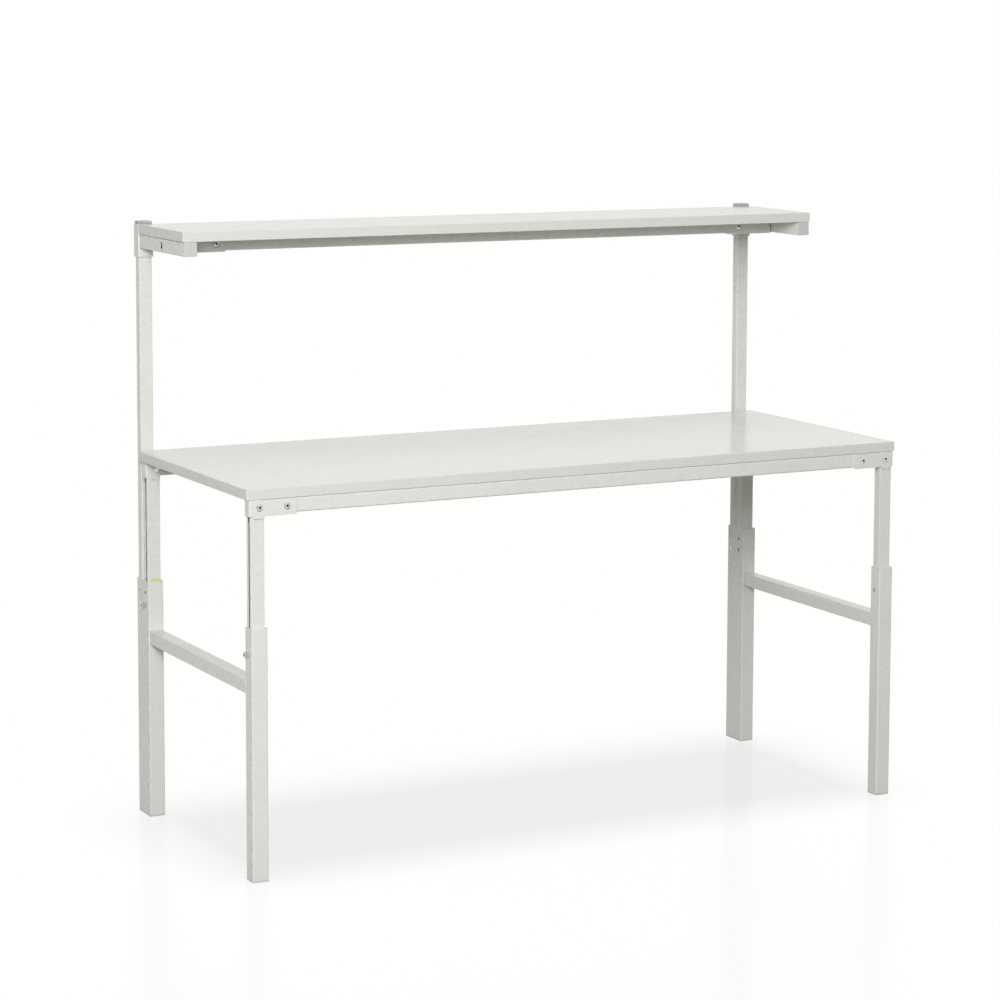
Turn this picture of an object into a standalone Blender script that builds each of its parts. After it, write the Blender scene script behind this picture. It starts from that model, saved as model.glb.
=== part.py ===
"""Packing bench with telescopic legs and a clamped upper shelf.

Metres, +Z up. The origin is on the floor at the middle of the footprint, +X runs along
the worktop to the right, and the person who works at the bench stands at -Y.
"""

import math

import bmesh
import bpy
from mathutils import Matrix, Vector

# Gaps, cutters and facets
SEAT_GAP = 0.0003
CUT_OVERRUN = 0.005
CORNER_STEPS = 3
ROUND_STEPS = 20
HOLE_STEPS = 16
DOME_STEPS = 3
SMOOTH_ANGLE = math.radians(35)

# Worktop board
WORKTOP_WIDTH = 1.800
WORKTOP_DEPTH = 0.700
WORKTOP_THICKNESS = 0.025
WORKTOP_HEIGHT = 0.925
BOARD_ROUNDING = 0.0015

# Telescopic upper legs, slotted profiles that slide in the lower tubes
LEG_WIDTH = 0.034
LEG_DEPTH = 0.025
LEG_WALL = 0.002
LEG_CORNER = 0.0015
LEG_SLOT_PLAY = 0.0015
LEG_INSERTION = 0.250

# Lower side frames
TUBE_TOP = 0.600
TUBE_WALL = 0.002
TUBE_CORNER = 0.003
TUBE_INSET = 0.0065
FRONT_TUBE_LEAD = 0.0095
LEG_SETBACK = 0.010
LEG_SIDE_PLAY = 0.001
LEG_BACK_PLAY = 0.003
LEG_POST_GAP = 0.016
BEAM_WIDTH = 0.035
BEAM_HEIGHT = 0.035
BEAM_TOP = 0.476
FOOT_THICKNESS = 0.003
FOOT_INSERT = 0.018
FOOT_PLAY = 0.0005

# Clamp screws that lock the legs, with their nuts and guide pads
CLAMP_DROP = 0.062
CLAMP_DIAMETER = 0.008
CLAMP_HEAD_DIAMETER = 0.013
CLAMP_HEAD_HEIGHT = 0.0085
CLAMP_SOCKET = 0.006
CLAMP_SOCKET_DEPTH = 0.004
WASHER_DIAMETER = 0.016
WASHER_THICKNESS = 0.0016
CLAMP_NUT_THICKNESS = 0.007
CLAMP_NUT_HEIGHT = 0.024
CLAMP_NUT_PLAY = 0.0015
CLAMP_END = 0.002
BORE_PLAY = 0.0003
LOCATING_HOLE_DROP = 0.030
LOCATING_HOLE_DIAMETER = 0.006
GUIDE_HEIGHT = 0.080
GUIDE_DROP = 0.002
GUIDE_SIDE_PLAY = 0.0006

# Worktop rails and corner brackets
RAIL_HEIGHT = 0.035
RAIL_DEPTH = 0.025
RAIL_WALL = 0.002
RAIL_CORNER = 0.0015
BRACKET_LENGTH = 0.119
BRACKET_HEIGHT = 0.0385
BRACKET_WALL = 0.0027
BRACKET_SIDE_WALL = 0.004
BRACKET_CORNER = 0.002
TONGUE_WIDTH = 0.030
TONGUE_DROP = 0.0055
TONGUE_CORNER = 0.005

# Button-head bolts
BOLT_DIAMETER = 0.008
BOLT_HEAD_DIAMETER = 0.014
BOLT_HEAD_HEIGHT = 0.0044
BOLT_FLANGE_DIAMETER = 0.0175
BOLT_FLANGE_THICKNESS = 0.001
BOLT_SOCKET = 0.005
BOLT_SOCKET_DEPTH = 0.0028
BOLT_SHORT_SHANK = 0.014
BOLT_DROP = 0.018
LEG_BOLT_OFFSET = 0.004
BOLT_PITCH = 0.069
NUT_ACROSS = 0.013
NUT_HEIGHT = 0.0065
BOLT_END = 0.0025
HEAD_CROWN_SHARE = 0.45

# Upright posts behind the worktop
POST_WIDTH = 0.034
POST_DEPTH = 0.025
POST_WALL = 0.002
POST_CORNER = 0.0025
POST_GAP = 0.006
POST_BACK_PLAY = 0.002
POST_INSERTION = 0.300
POST_SCREW_DIAMETER = 0.006
POST_SCREW_HEAD_DIAMETER = 0.010
POST_SCREW_HEAD_HEIGHT = 0.0016
POST_SCREW_SOCKET = 0.003
POST_SCREW_SOCKET_DEPTH = 0.001
POST_SCREW_REACH = 0.008
CAP_HEIGHT = 0.007
CAP_OVERHANG = 0.0015
CAP_ROUNDING = 0.0025
CAP_CROWN = 0.0008
CAP_CROWN_WIDTH = 0.006
CAP_INSERT = 0.012
CAP_PLAY = 0.0005

# Upper shelf
SHELF_HEIGHT = 1.492
SHELF_DEPTH = 0.300
SHELF_THICKNESS = 0.025
COLLAR_HEIGHT = 0.082
COLLAR_PLAY = 0.001
COLLAR_SIDE_WALL = 0.002
COLLAR_FRONT_WALL = 0.003
COLLAR_CORNER = 0.0025
COLLAR_SCREW_DROP = 0.038
COLLAR_SCREW_DIAMETER = 0.005
COLLAR_SCREW_SOCKET = 0.0025
COLLAR_SCREW_SOCKET_DEPTH = 0.0012
ARM_WIDTH = 0.033
ARM_HEIGHT = 0.035
ARM_WALL = 0.002
ARM_CORNER = 0.0025
ARM_CAP_THICKNESS = 0.003
ARM_CAP_INSERT = 0.015
KEYHOLE_SETBACK = 0.150
KEYHOLE_DIAMETER = 0.008
KEYHOLE_SLOT = 0.0045
KEYHOLE_LENGTH = 0.014
SHELF_RAIL_SETBACK = 0.138
SHELF_RAIL_HEIGHT = 0.034
SHELF_RAIL_DEPTH = 0.025
SHELF_RAIL_WALL = 0.002
SADDLE_LENGTH = 0.127
SADDLE_WALL = 0.0027
SADDLE_BOLT_REACH = 0.104

# Colours as linear RGB, with roughness and metallic
PAINT = ("warm_grey_powder_coat", (0.70, 0.70, 0.66), 0.45, 0.0)
LAMINATE = ("pale_grey_laminate", (0.76, 0.76, 0.72), 0.35, 0.0)
ZINC = ("bright_zinc_steel", (0.62, 0.63, 0.62), 0.28, 1.0)
GREY_PLASTIC = ("light_grey_polyamide", (0.58, 0.58, 0.59), 0.50, 0.0)

# Places worked out from the sizes above
TUBE_WIDTH = LEG_WIDTH + 2 * (LEG_SIDE_PLAY + TUBE_WALL)
FRONT_TUBE_DEPTH = LEG_SETBACK + LEG_DEPTH + LEG_BACK_PLAY + TUBE_WALL
REAR_SLEEVE_DEPTH = (
    LEG_SETBACK + LEG_DEPTH + LEG_POST_GAP + POST_DEPTH + POST_BACK_PLAY + TUBE_WALL
)
POST_REACH = POST_GAP + POST_DEPTH + POST_BACK_PLAY + TUBE_WALL
FOOTPRINT_DEPTH = FRONT_TUBE_LEAD + WORKTOP_DEPTH + POST_REACH
WORKTOP_FRONT = FRONT_TUBE_LEAD - FOOTPRINT_DEPTH / 2
WORKTOP_BACK = WORKTOP_FRONT + WORKTOP_DEPTH
WORKTOP_UNDERSIDE = WORKTOP_HEIGHT - WORKTOP_THICKNESS
FRAME_TOP = WORKTOP_UNDERSIDE - SEAT_GAP
SIDE_X = WORKTOP_WIDTH / 2 - TUBE_INSET - TUBE_WIDTH / 2
FRONT_TUBE_Y = (FRONT_TUBE_DEPTH - FOOTPRINT_DEPTH) / 2
REAR_SLEEVE_Y = (FOOTPRINT_DEPTH - REAR_SLEEVE_DEPTH) / 2
FRONT_LEG_Y = LEG_SETBACK + (LEG_DEPTH - FOOTPRINT_DEPTH) / 2
REAR_LEG_Y = REAR_SLEEVE_Y - REAR_SLEEVE_DEPTH / 2 + LEG_SETBACK + LEG_DEPTH / 2
LEG_Y = {"front": FRONT_LEG_Y, "rear": REAR_LEG_Y}
LEG_BOTTOM = TUBE_TOP - LEG_INSERTION
LEG_SLOT = CLAMP_DIAMETER + LEG_SLOT_PLAY
TUBE_BOTTOM = FOOT_THICKNESS + SEAT_GAP
CLAMP_Z = TUBE_TOP - CLAMP_DROP
LOCATING_HOLE_Z = TUBE_TOP - LOCATING_HOLE_DROP
BEAM_Z = BEAM_TOP - BEAM_HEIGHT / 2
POST_Y = WORKTOP_BACK + POST_GAP + POST_DEPTH / 2
POST_TOP = SHELF_HEIGHT + SEAT_GAP
POST_BOTTOM = TUBE_TOP - POST_INSERTION
COLLAR_WIDTH = POST_WIDTH + 2 * (COLLAR_PLAY + COLLAR_SIDE_WALL)
COLLAR_DEPTH = POST_DEPTH + 2 * (COLLAR_PLAY + COLLAR_FRONT_WALL)
COLLAR_FRONT = POST_Y - COLLAR_DEPTH / 2
SHELF_WIDTH = 2 * SIDE_X + COLLAR_WIDTH
SHELF_BACK = COLLAR_FRONT - SEAT_GAP
SHELF_FRONT = SHELF_BACK - SHELF_DEPTH
SHELF_UNDERSIDE = SHELF_HEIGHT - SHELF_THICKNESS
ARM_TOP = SHELF_UNDERSIDE - SEAT_GAP
ARM_Z = ARM_TOP - ARM_HEIGHT / 2
ARM_FRONT = SHELF_FRONT + ARM_CAP_THICKNESS + SEAT_GAP
RAIL_Z = FRAME_TOP - RAIL_HEIGHT / 2
BOLT_Z = WORKTOP_UNDERSIDE - BOLT_DROP
LEG_BOLT_X = SIDE_X - LEG_BOLT_OFFSET
RAIL_BOLT_X = LEG_BOLT_X - BOLT_PITCH
SHELF_RAIL_Y = SHELF_FRONT + SHELF_RAIL_SETBACK + SHELF_RAIL_DEPTH / 2
SHELF_RAIL_Z = ARM_TOP - SHELF_RAIL_HEIGHT / 2
ARM_INNER_X = SIDE_X - ARM_WIDTH / 2
SIDES = {"left": -1, "right": 1}
ENDS = {"front": -1, "rear": 1}


# Scene, materials and placing


def clear_scene():
    for obj in list(bpy.data.objects):
        bpy.data.objects.remove(obj, do_unlink=True)


def new_collection(name):
    collection = bpy.data.collections.new(name)
    bpy.context.scene.collection.children.link(collection)
    return collection


def make_material(finish):
    name, colour, roughness, metallic = finish
    material = bpy.data.materials.get(name)
    if material:
        return material
    material = bpy.data.materials.new(name)
    material.use_nodes = True
    shader = material.node_tree.nodes["Principled BSDF"]
    shader.inputs["Base Color"].default_value = (*colour, 1.0)
    shader.inputs["Roughness"].default_value = roughness
    shader.inputs["Metallic"].default_value = metallic
    return material


def make_group(name):
    """An empty that carries the pieces which move together."""
    group = bpy.data.objects.new(name, None)
    PIECES.objects.link(group)
    return group


def place(name, mesh, finish, group, location, rotation=(0, 0, 0)):
    """One named piece: a mesh about its own origin, set where it belongs."""
    piece = bpy.data.objects.new(name, mesh)
    PIECES.objects.link(piece)
    if not mesh.materials:
        mesh.materials.append(make_material(finish))
    mesh.shade_smooth()
    mesh.set_sharp_from_angle(angle=SMOOTH_ANGLE)
    piece.location = location
    piece.rotation_euler = rotation
    piece.parent = group
    return piece


def modify(piece, kind, target=None):
    """A Boolean on a piece, whose other solid becomes a helper."""
    modifier = piece.modifiers.new(kind.title(), "BOOLEAN")
    modifier.operation = kind
    modifier.solver = "EXACT"
    modifier.object = target
    return modifier


def helper(name, mesh, location, rotation=(0, 0, 0)):
    """A cutter or an added body, left out of the render and of the parts."""
    obj = bpy.data.objects.new(name, mesh)
    HELPERS.objects.link(obj)
    obj.location = location
    obj.rotation_euler = rotation
    obj.hide_render = True
    obj.display_type = "WIRE"
    return obj


# Outlines and meshes

AXIS_MAPS = {
    "X": Matrix(((0, 0, 1), (1, 0, 0), (0, 1, 0))),
    "Y": Matrix(((1, 0, 0), (0, 0, 1), (0, 1, 0))),
    "Z": Matrix(((1, 0, 0), (0, 1, 0), (0, 0, 1))),
}
HEAD_TURNS = {
    "-Y": (math.pi / 2, 0, 0),
    "+Y": (-math.pi / 2, 0, 0),
    "-X": (0, -math.pi / 2, 0),
    "+X": (0, math.pi / 2, 0),
}


def arc(centre, radius, start, end, steps):
    """Points on an arc, from the start angle to the end angle."""
    angles = [start + (end - start) * i / steps for i in range(steps + 1)]
    return [(centre[0] + radius * math.cos(a), centre[1] + radius * math.sin(a)) for a in angles]


def rounded_loop(width, depth, radius):
    """A rectangle with round corners, anticlockwise from the left side's lower end."""
    u, v = width / 2 - radius, depth / 2 - radius
    quarter = math.pi / 2
    corners = [(-u, -v), (u, -v), (u, v), (-u, v)]
    points = []
    for index, corner in enumerate(corners):
        start = math.pi + index * quarter
        points += arc(corner, radius, start, start + quarter, CORNER_STEPS)
    return points


def tube_loops(width, depth, wall, radius):
    """The outer and inner loops of a drawn tube."""
    inner_radius = max(radius - wall, wall / 2)
    return [
        rounded_loop(width, depth, radius),
        rounded_loop(width - 2 * wall, depth - 2 * wall, inner_radius),
    ]


def slotted_loop(side):
    """The leg's C-shaped section, with its slot in the outer side."""
    outer = rounded_loop(LEG_WIDTH, LEG_DEPTH, LEG_CORNER)
    inner = rounded_loop(LEG_WIDTH - 2 * LEG_WALL, LEG_DEPTH - 2 * LEG_WALL, LEG_WALL / 2)
    lip, edge = LEG_SLOT / 2, -LEG_WIDTH / 2
    points = [(edge, -lip), *outer, (edge, lip)]
    points += [(edge + LEG_WALL, lip), *reversed(inner), (edge + LEG_WALL, -lip)]
    return [[(-side * u, v) for u, v in points]]


def closed_mesh(obj, name, turn=None):
    """The object's final mesh, welded, turned and facing out. The object is removed."""
    graph = bpy.context.evaluated_depsgraph_get()
    mesh = bpy.data.meshes.new_from_object(obj.evaluated_get(graph))
    mesh.name = name
    bm = bmesh.new()
    bm.from_mesh(mesh)
    bmesh.ops.remove_doubles(bm, verts=bm.verts, dist=0.00001)
    if turn:
        bmesh.ops.transform(bm, matrix=turn.to_4x4(), verts=bm.verts)
    bmesh.ops.recalc_face_normals(bm, faces=bm.faces)
    bm.to_mesh(mesh)
    bm.free()
    bpy.data.objects.remove(obj)
    return mesh


def extruded(name, loops, length, axis):
    """A flat outline, drawn in the two directions across the axis and extruded along it."""
    curve = bpy.data.curves.new(name, "CURVE")
    curve.dimensions = "2D"
    curve.fill_mode = "BOTH"
    curve.extrude = length / 2
    for loop in loops:
        spline = curve.splines.new("POLY")
        spline.points.add(len(loop) - 1)
        for point, (u, v) in zip(spline.points, loop):
            point.co = (u, v, 0, 1)
        spline.use_cyclic_u = True
    obj = bpy.data.objects.new(name, curve)
    HELPERS.objects.link(obj)
    return closed_mesh(obj, name, AXIS_MAPS[axis])


def block(name, size, rounding=0.0):
    """A box with its edges rounded a little."""
    mesh = bpy.data.meshes.new(name)
    bm = bmesh.new()
    bmesh.ops.create_cube(bm, size=1)
    bmesh.ops.scale(bm, vec=size, verts=bm.verts)
    if rounding:
        bmesh.ops.bevel(bm, geom=bm.edges, offset=rounding, segments=2, affect="EDGES")
    bm.to_mesh(mesh)
    bm.free()
    return mesh


def prism(name, diameter, length, steps):
    """A cylinder or, with few steps, a hexagon bar along local Z."""
    mesh = bpy.data.meshes.new(name)
    bm = bmesh.new()
    bmesh.ops.create_cone(
        bm,
        cap_ends=True,
        segments=steps,
        radius1=diameter / 2,
        radius2=diameter / 2,
        depth=length,
    )
    bm.to_mesh(mesh)
    bm.free()
    return mesh


def turned(name, profile):
    """A body turned about local Z from a profile that runs down its outer side."""
    outline = bpy.data.meshes.new(name)
    edges = [(i, i + 1) for i in range(len(profile) - 1)]
    outline.from_pydata([(r, 0, z) for r, z in profile], edges, [])
    obj = bpy.data.objects.new(name, outline)
    HELPERS.objects.link(obj)
    screw = obj.modifiers.new("Turn", "SCREW")
    screw.steps = ROUND_STEPS
    screw.render_steps = ROUND_STEPS
    screw.use_merge_vertices = True
    screw.merge_threshold = 0.00001
    return closed_mesh(obj, name)


def combined(name, mesh, others):
    """One mesh from a body and the bodies cut from it or joined to it, each at its place."""
    obj = bpy.data.objects.new(name, mesh)
    HELPERS.objects.link(obj)
    added = []
    for kind, other, location in others:
        added.append(helper(name + "_" + kind.lower(), other, location))
        modify(obj, kind, added[-1])
    result = closed_mesh(obj, name)
    for other in added:
        bpy.data.objects.remove(other)
    return result


def bore(piece, diameter, location, length, turn):
    """A round hole through a piece."""
    cutter = prism("bore_" + piece.name, diameter, length, HOLE_STEPS)
    modify(piece, "DIFFERENCE", helper(cutter.name, cutter, location, HEAD_TURNS[turn]))


# Screws and bolts, each with its head's underside at z = 0 and its head at +Z


def hexagon(across_flats):
    """The diameter over the corners of a hexagon."""
    return across_flats / math.cos(math.pi / 6)


def button_head(radius, height):
    """The profile of a domed head, from its middle down to its rim's underside."""
    crown = radius * HEAD_CROWN_SHARE
    points = [(0, height), (crown, height)]
    for i in range(1, DOME_STEPS + 1):
        angle = math.pi / 2 * i / DOME_STEPS
        r = crown + (radius - crown) * math.sin(angle)
        points.append((r, height * (1 + 3 * math.cos(angle)) / 4))
    return [*points, (radius, 0)]


def socketed(name, mesh, head_height, across_flats, depth):
    """The screw with a hexagon socket sunk in its head."""
    cutter = prism(name + "_socket", hexagon(across_flats), depth + CUT_OVERRUN, 6)
    middle = head_height + (CUT_OVERRUN - depth) / 2
    return combined(name, mesh, [("DIFFERENCE", cutter, (0, 0, middle))])


def button_bolt(name, shank):
    """A short bolt with a flanged head, which ends in a threaded insert in the rail."""
    radius, head, flange = BOLT_DIAMETER / 2, BOLT_HEAD_DIAMETER / 2, BOLT_FLANGE_DIAMETER / 2
    *dome, _ = button_head(head, BOLT_HEAD_HEIGHT)
    profile = [*dome, (head, BOLT_FLANGE_THICKNESS), (flange, BOLT_FLANGE_THICKNESS)]
    profile += [(flange, 0), (radius, 0), (radius, -shank), (0, -shank)]
    solid = turned(name, profile)
    return socketed(name, solid, BOLT_HEAD_HEIGHT, BOLT_SOCKET, BOLT_SOCKET_DEPTH)


def through_bolt(name, grip):
    """A bolt through a leg and both bracket walls, with its nut run up on it."""
    bolt = button_bolt(name, grip + NUT_HEIGHT + BOLT_END)
    nut = prism(name + "_nut", hexagon(NUT_ACROSS), NUT_HEIGHT, 6)
    return combined(name, bolt, [("UNION", nut, (0, 0, -grip - NUT_HEIGHT / 2))])


def clamp_screw(name, shank):
    """A cap screw with a high knurled head and a washer under it."""
    radius, head, washer = CLAMP_DIAMETER / 2, CLAMP_HEAD_DIAMETER / 2, WASHER_DIAMETER / 2
    chamfer = CLAMP_HEAD_HEIGHT / 12
    top = WASHER_THICKNESS + CLAMP_HEAD_HEIGHT
    profile = [(0, top), (head - chamfer, top), (head, top - chamfer), (head, WASHER_THICKNESS)]
    profile += [(washer, WASHER_THICKNESS), (washer, 0), (radius, 0), (radius, -shank), (0, -shank)]
    return socketed(name, turned(name, profile), top, CLAMP_SOCKET, CLAMP_SOCKET_DEPTH)


def post_screw(name):
    """The low screw that holds a post in its sleeve."""
    radius = POST_SCREW_DIAMETER / 2
    profile = button_head(POST_SCREW_HEAD_DIAMETER / 2, POST_SCREW_HEAD_HEIGHT)
    profile += [(radius, 0), (radius, -POST_SCREW_REACH), (0, -POST_SCREW_REACH)]
    solid = turned(name, profile)
    return socketed(
        name, solid, POST_SCREW_HEAD_HEIGHT, POST_SCREW_SOCKET, POST_SCREW_SOCKET_DEPTH
    )


def collar_screw(name, length):
    """The headless set screw that clamps a collar to its post."""
    radius = COLLAR_SCREW_DIAMETER / 2
    solid = turned(name, [(0, 0), (radius, 0), (radius, -length), (0, -length)])
    return socketed(name, solid, 0, COLLAR_SCREW_SOCKET, COLLAR_SCREW_SOCKET_DEPTH)


# Lower side frames


def make_lower_tube(name, side, end):
    """A front tube or a rear sleeve, open at the top for what slides in it."""
    depth = FRONT_TUBE_DEPTH if end == "front" else REAR_SLEEVE_DEPTH
    y = FRONT_TUBE_Y if end == "front" else REAR_SLEEVE_Y
    length = TUBE_TOP - TUBE_BOTTOM
    loops = tube_loops(TUBE_WIDTH, depth, TUBE_WALL, TUBE_CORNER)
    mesh = extruded(name, loops, length, "Z")
    tube = place(name, mesh, PAINT, FRAMES, (side * SIDE_X, y, TUBE_BOTTOM + length / 2))
    through = TUBE_WIDTH + 2 * CUT_OVERRUN
    clamp_bore = CLAMP_DIAMETER + 2 * BORE_PLAY
    bore(tube, clamp_bore, (side * SIDE_X, LEG_Y[end], CLAMP_Z), through, "+X")
    if end == "rear":
        locating = (side * SIDE_X, LEG_Y[end], LOCATING_HOLE_Z)
        bore(tube, LOCATING_HOLE_DIAMETER, locating, through, "+X")
        inner_x = side * (SIDE_X - TUBE_WIDTH / 2)
        post_bore = POST_SCREW_DIAMETER + 2 * BORE_PLAY
        bore(tube, post_bore, (inner_x, POST_Y, CLAMP_Z), TUBE_WIDTH / 2, "+X")
        outer_x = side * (SIDE_X + TUBE_WIDTH / 2)
        pilot = (outer_x, POST_Y, LOCATING_HOLE_Z)
        bore(tube, LOCATING_HOLE_DIAMETER, pilot, TUBE_WIDTH / 2, "+X")
    return tube


def make_foot(name, side, end):
    """A pressed-in end plug whose flange the bench stands on."""
    depth = FRONT_TUBE_DEPTH if end == "front" else REAR_SLEEVE_DEPTH
    y = FRONT_TUBE_Y if end == "front" else REAR_SLEEVE_Y
    flange = extruded(
        name, [rounded_loop(TUBE_WIDTH, depth, TUBE_CORNER)], FOOT_THICKNESS, "Z"
    )
    inside = 2 * (TUBE_WALL + FOOT_PLAY)
    insert_loop = rounded_loop(TUBE_WIDTH - inside, depth - inside, TUBE_WALL)
    height = FOOT_INSERT + FOOT_THICKNESS / 2
    insert = extruded(name + "_insert", [insert_loop], height, "Z")
    mesh = combined(name, flange, [("UNION", insert, (0, 0, height / 2))])
    return place(name, mesh, GREY_PLASTIC, FRAMES, (side * SIDE_X, y, FOOT_THICKNESS / 2))


def make_crossbeam(name, side):
    """The tube welded between the front tube and the rear sleeve."""
    front = FRONT_TUBE_Y + FRONT_TUBE_DEPTH / 2 + SEAT_GAP
    back = REAR_SLEEVE_Y - REAR_SLEEVE_DEPTH / 2 - SEAT_GAP
    loops = tube_loops(BEAM_WIDTH, BEAM_HEIGHT, TUBE_WALL, TUBE_CORNER)
    mesh = extruded(name, loops, back - front, "Y")
    return place(name, mesh, PAINT, FRAMES, (side * SIDE_X, (front + back) / 2, BEAM_Z))


def make_clamp(screw_name, nut_name, side, end):
    """The screw through the tube's outer wall and the nut behind the leg's slot."""
    outer_x = SIDE_X + TUBE_WIDTH / 2 + SEAT_GAP
    lip_x = SIDE_X + LEG_WIDTH / 2 - LEG_WALL - SEAT_GAP
    nut_inner_x = lip_x - CLAMP_NUT_THICKNESS
    turn = HEAD_TURNS["+X" if side > 0 else "-X"]
    place(
        screw_name,
        clamp_screw(screw_name, outer_x - nut_inner_x + CLAMP_END),
        ZINC,
        FRAMES,
        (side * outer_x, LEG_Y[end], CLAMP_Z),
        turn,
    )
    depth = LEG_DEPTH - 2 * (LEG_WALL + CLAMP_NUT_PLAY)
    nut_mesh = block(nut_name, (CLAMP_NUT_THICKNESS, depth, CLAMP_NUT_HEIGHT))
    nut_x = side * (lip_x + nut_inner_x) / 2
    nut = place(nut_name, nut_mesh, ZINC, FRAMES, (nut_x, LEG_Y[end], CLAMP_Z))
    diameter = CLAMP_DIAMETER + 2 * BORE_PLAY
    length = CLAMP_NUT_THICKNESS + 2 * CUT_OVERRUN
    bore(nut, diameter, (nut_x, LEG_Y[end], CLAMP_Z), length, "+X")


def make_guide(name, side, end):
    """The pad that fills the space between the tube's front wall and the leg."""
    thickness = LEG_SETBACK - TUBE_WALL - 2 * SEAT_GAP
    width = TUBE_WIDTH - 2 * (TUBE_WALL + GUIDE_SIDE_PLAY)
    mesh = block(name, (width, thickness, GUIDE_HEIGHT))
    y = LEG_Y[end] - LEG_DEPTH / 2 - SEAT_GAP - thickness / 2
    z = TUBE_TOP - GUIDE_DROP - GUIDE_HEIGHT / 2
    return place(name, mesh, GREY_PLASTIC, FRAMES, (side * SIDE_X, y, z))


def make_post(name, side):
    """The upright that stands in the back half of a rear sleeve."""
    length = POST_TOP - POST_BOTTOM
    loops = tube_loops(POST_WIDTH, POST_DEPTH, POST_WALL, POST_CORNER)
    mesh = extruded(name, loops, length, "Z")
    post = place(name, mesh, PAINT, FRAMES, (side * SIDE_X, POST_Y, POST_BOTTOM + length / 2))
    inner_x = side * (SIDE_X - POST_WIDTH / 2)
    diameter = POST_SCREW_DIAMETER + 2 * BORE_PLAY
    bore(post, diameter, (inner_x, POST_Y, CLAMP_Z), POST_WIDTH / 2, "+X")
    return post


def make_post_screw(name, side):
    """The screw on the sleeve's inner face that fixes the post."""
    x = side * (SIDE_X - TUBE_WIDTH / 2 - SEAT_GAP)
    turn = HEAD_TURNS["-X" if side > 0 else "+X"]
    return place(name, post_screw(name), ZINC, FRAMES, (x, POST_Y, CLAMP_Z), turn)


def make_post_cap(name, side):
    """The crowned cap that closes a post, its insert pushed into the tube."""
    width, depth = POST_WIDTH + 2 * CAP_OVERHANG, POST_DEPTH + 2 * CAP_OVERHANG
    shoulder = CAP_HEIGHT - CAP_CROWN - CAP_ROUNDING
    levels = [(0, 0)]
    for i in range(DOME_STEPS + 1):
        angle = math.pi / 2 * i / DOME_STEPS
        inset, rise = CAP_ROUNDING * (1 - math.cos(angle)), CAP_ROUNDING * math.sin(angle)
        levels.append((inset, shoulder + rise))
    levels.append((CAP_ROUNDING + CAP_CROWN_WIDTH, CAP_HEIGHT))
    mesh = bpy.data.meshes.new(name)
    bm = bmesh.new()
    loops = []
    for inset, z in levels:
        loop = rounded_loop(width - 2 * inset, depth - 2 * inset, POST_CORNER)
        loops.append([bm.verts.new((u, v, z)) for u, v in loop])
    for low, high in zip(loops, loops[1:]):
        for i in range(len(low)):
            bm.faces.new((low[i - 1], low[i], high[i], high[i - 1]))
    bm.faces.new(loops[-1])
    bm.faces.new(reversed(loops[0]))
    bm.to_mesh(mesh)
    bm.free()
    inside = 2 * (POST_WALL + CAP_PLAY)
    insert_loop = rounded_loop(POST_WIDTH - inside, POST_DEPTH - inside, POST_WALL / 2)
    height = CAP_INSERT + CAP_HEIGHT / 2
    insert = extruded(name + "_insert", [insert_loop], height, "Z")
    capped = combined(name, mesh, [("UNION", insert, (0, 0, CAP_HEIGHT / 2 - height / 2))])
    z = POST_TOP + SEAT_GAP
    return place(name, capped, GREY_PLASTIC, FRAMES, (side * SIDE_X, POST_Y, z))


# Worktop with its rails, legs and corner brackets


def make_worktop(name):
    mesh = block(name, (WORKTOP_WIDTH, WORKTOP_DEPTH, WORKTOP_THICKNESS), BOARD_ROUNDING)
    y = WORKTOP_FRONT + WORKTOP_DEPTH / 2
    return place(name, mesh, LAMINATE, TOP, (0, y, WORKTOP_HEIGHT - WORKTOP_THICKNESS / 2))


def rail_y(end):
    """The rail's middle: its outer face is flush with the legs' outer faces."""
    return LEG_Y[end] + ENDS[end] * (LEG_DEPTH - RAIL_DEPTH) / 2


def make_rail(name, end):
    """The long tube under the board, between two legs."""
    length = 2 * (SIDE_X - LEG_WIDTH / 2 - SEAT_GAP)
    loops = tube_loops(RAIL_DEPTH, RAIL_HEIGHT, RAIL_WALL, RAIL_CORNER)
    mesh = extruded(name, loops, length, "X")
    rail = place(name, mesh, PAINT, TOP, (0, rail_y(end), RAIL_Z))
    face_y = rail_y(end) + ENDS[end] * RAIL_DEPTH / 2
    for side in SIDES.values():
        diameter = BOLT_DIAMETER + 2 * BORE_PLAY
        bore(rail, diameter, (side * RAIL_BOLT_X, face_y, BOLT_Z), RAIL_DEPTH, "+Y")
    return rail


def make_leg(name, side, end):
    """A slotted upper leg, from inside the lower tube up to the board."""
    length = FRAME_TOP - LEG_BOTTOM
    mesh = extruded(name, slotted_loop(side), length, "Z")
    location = (side * SIDE_X, LEG_Y[end], LEG_BOTTOM + length / 2)
    leg = place(name, mesh, PAINT, TOP, location)
    diameter = BOLT_DIAMETER + 2 * BORE_PLAY
    through = LEG_DEPTH + 2 * CUT_OVERRUN
    bore(leg, diameter, (side * LEG_BOLT_X, LEG_Y[end], BOLT_Z), through, "+Y")
    return leg


def tongue_mesh(name):
    """The short tongue that runs down over a leg's face, with its lower corners round."""
    height = TONGUE_DROP + BRACKET_HEIGHT / 2
    half, foot, radius = TONGUE_WIDTH / 2, -height / 2, TONGUE_CORNER
    points = arc((radius - half, foot + radius), radius, math.pi, math.pi * 3 / 2, CORNER_STEPS)
    points += arc((half - radius, foot + radius), radius, -math.pi / 2, 0, CORNER_STEPS)
    points += [(half, height / 2), (-half, height / 2)]
    return extruded(name, [points], BRACKET_WALL, "Y"), height


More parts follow.
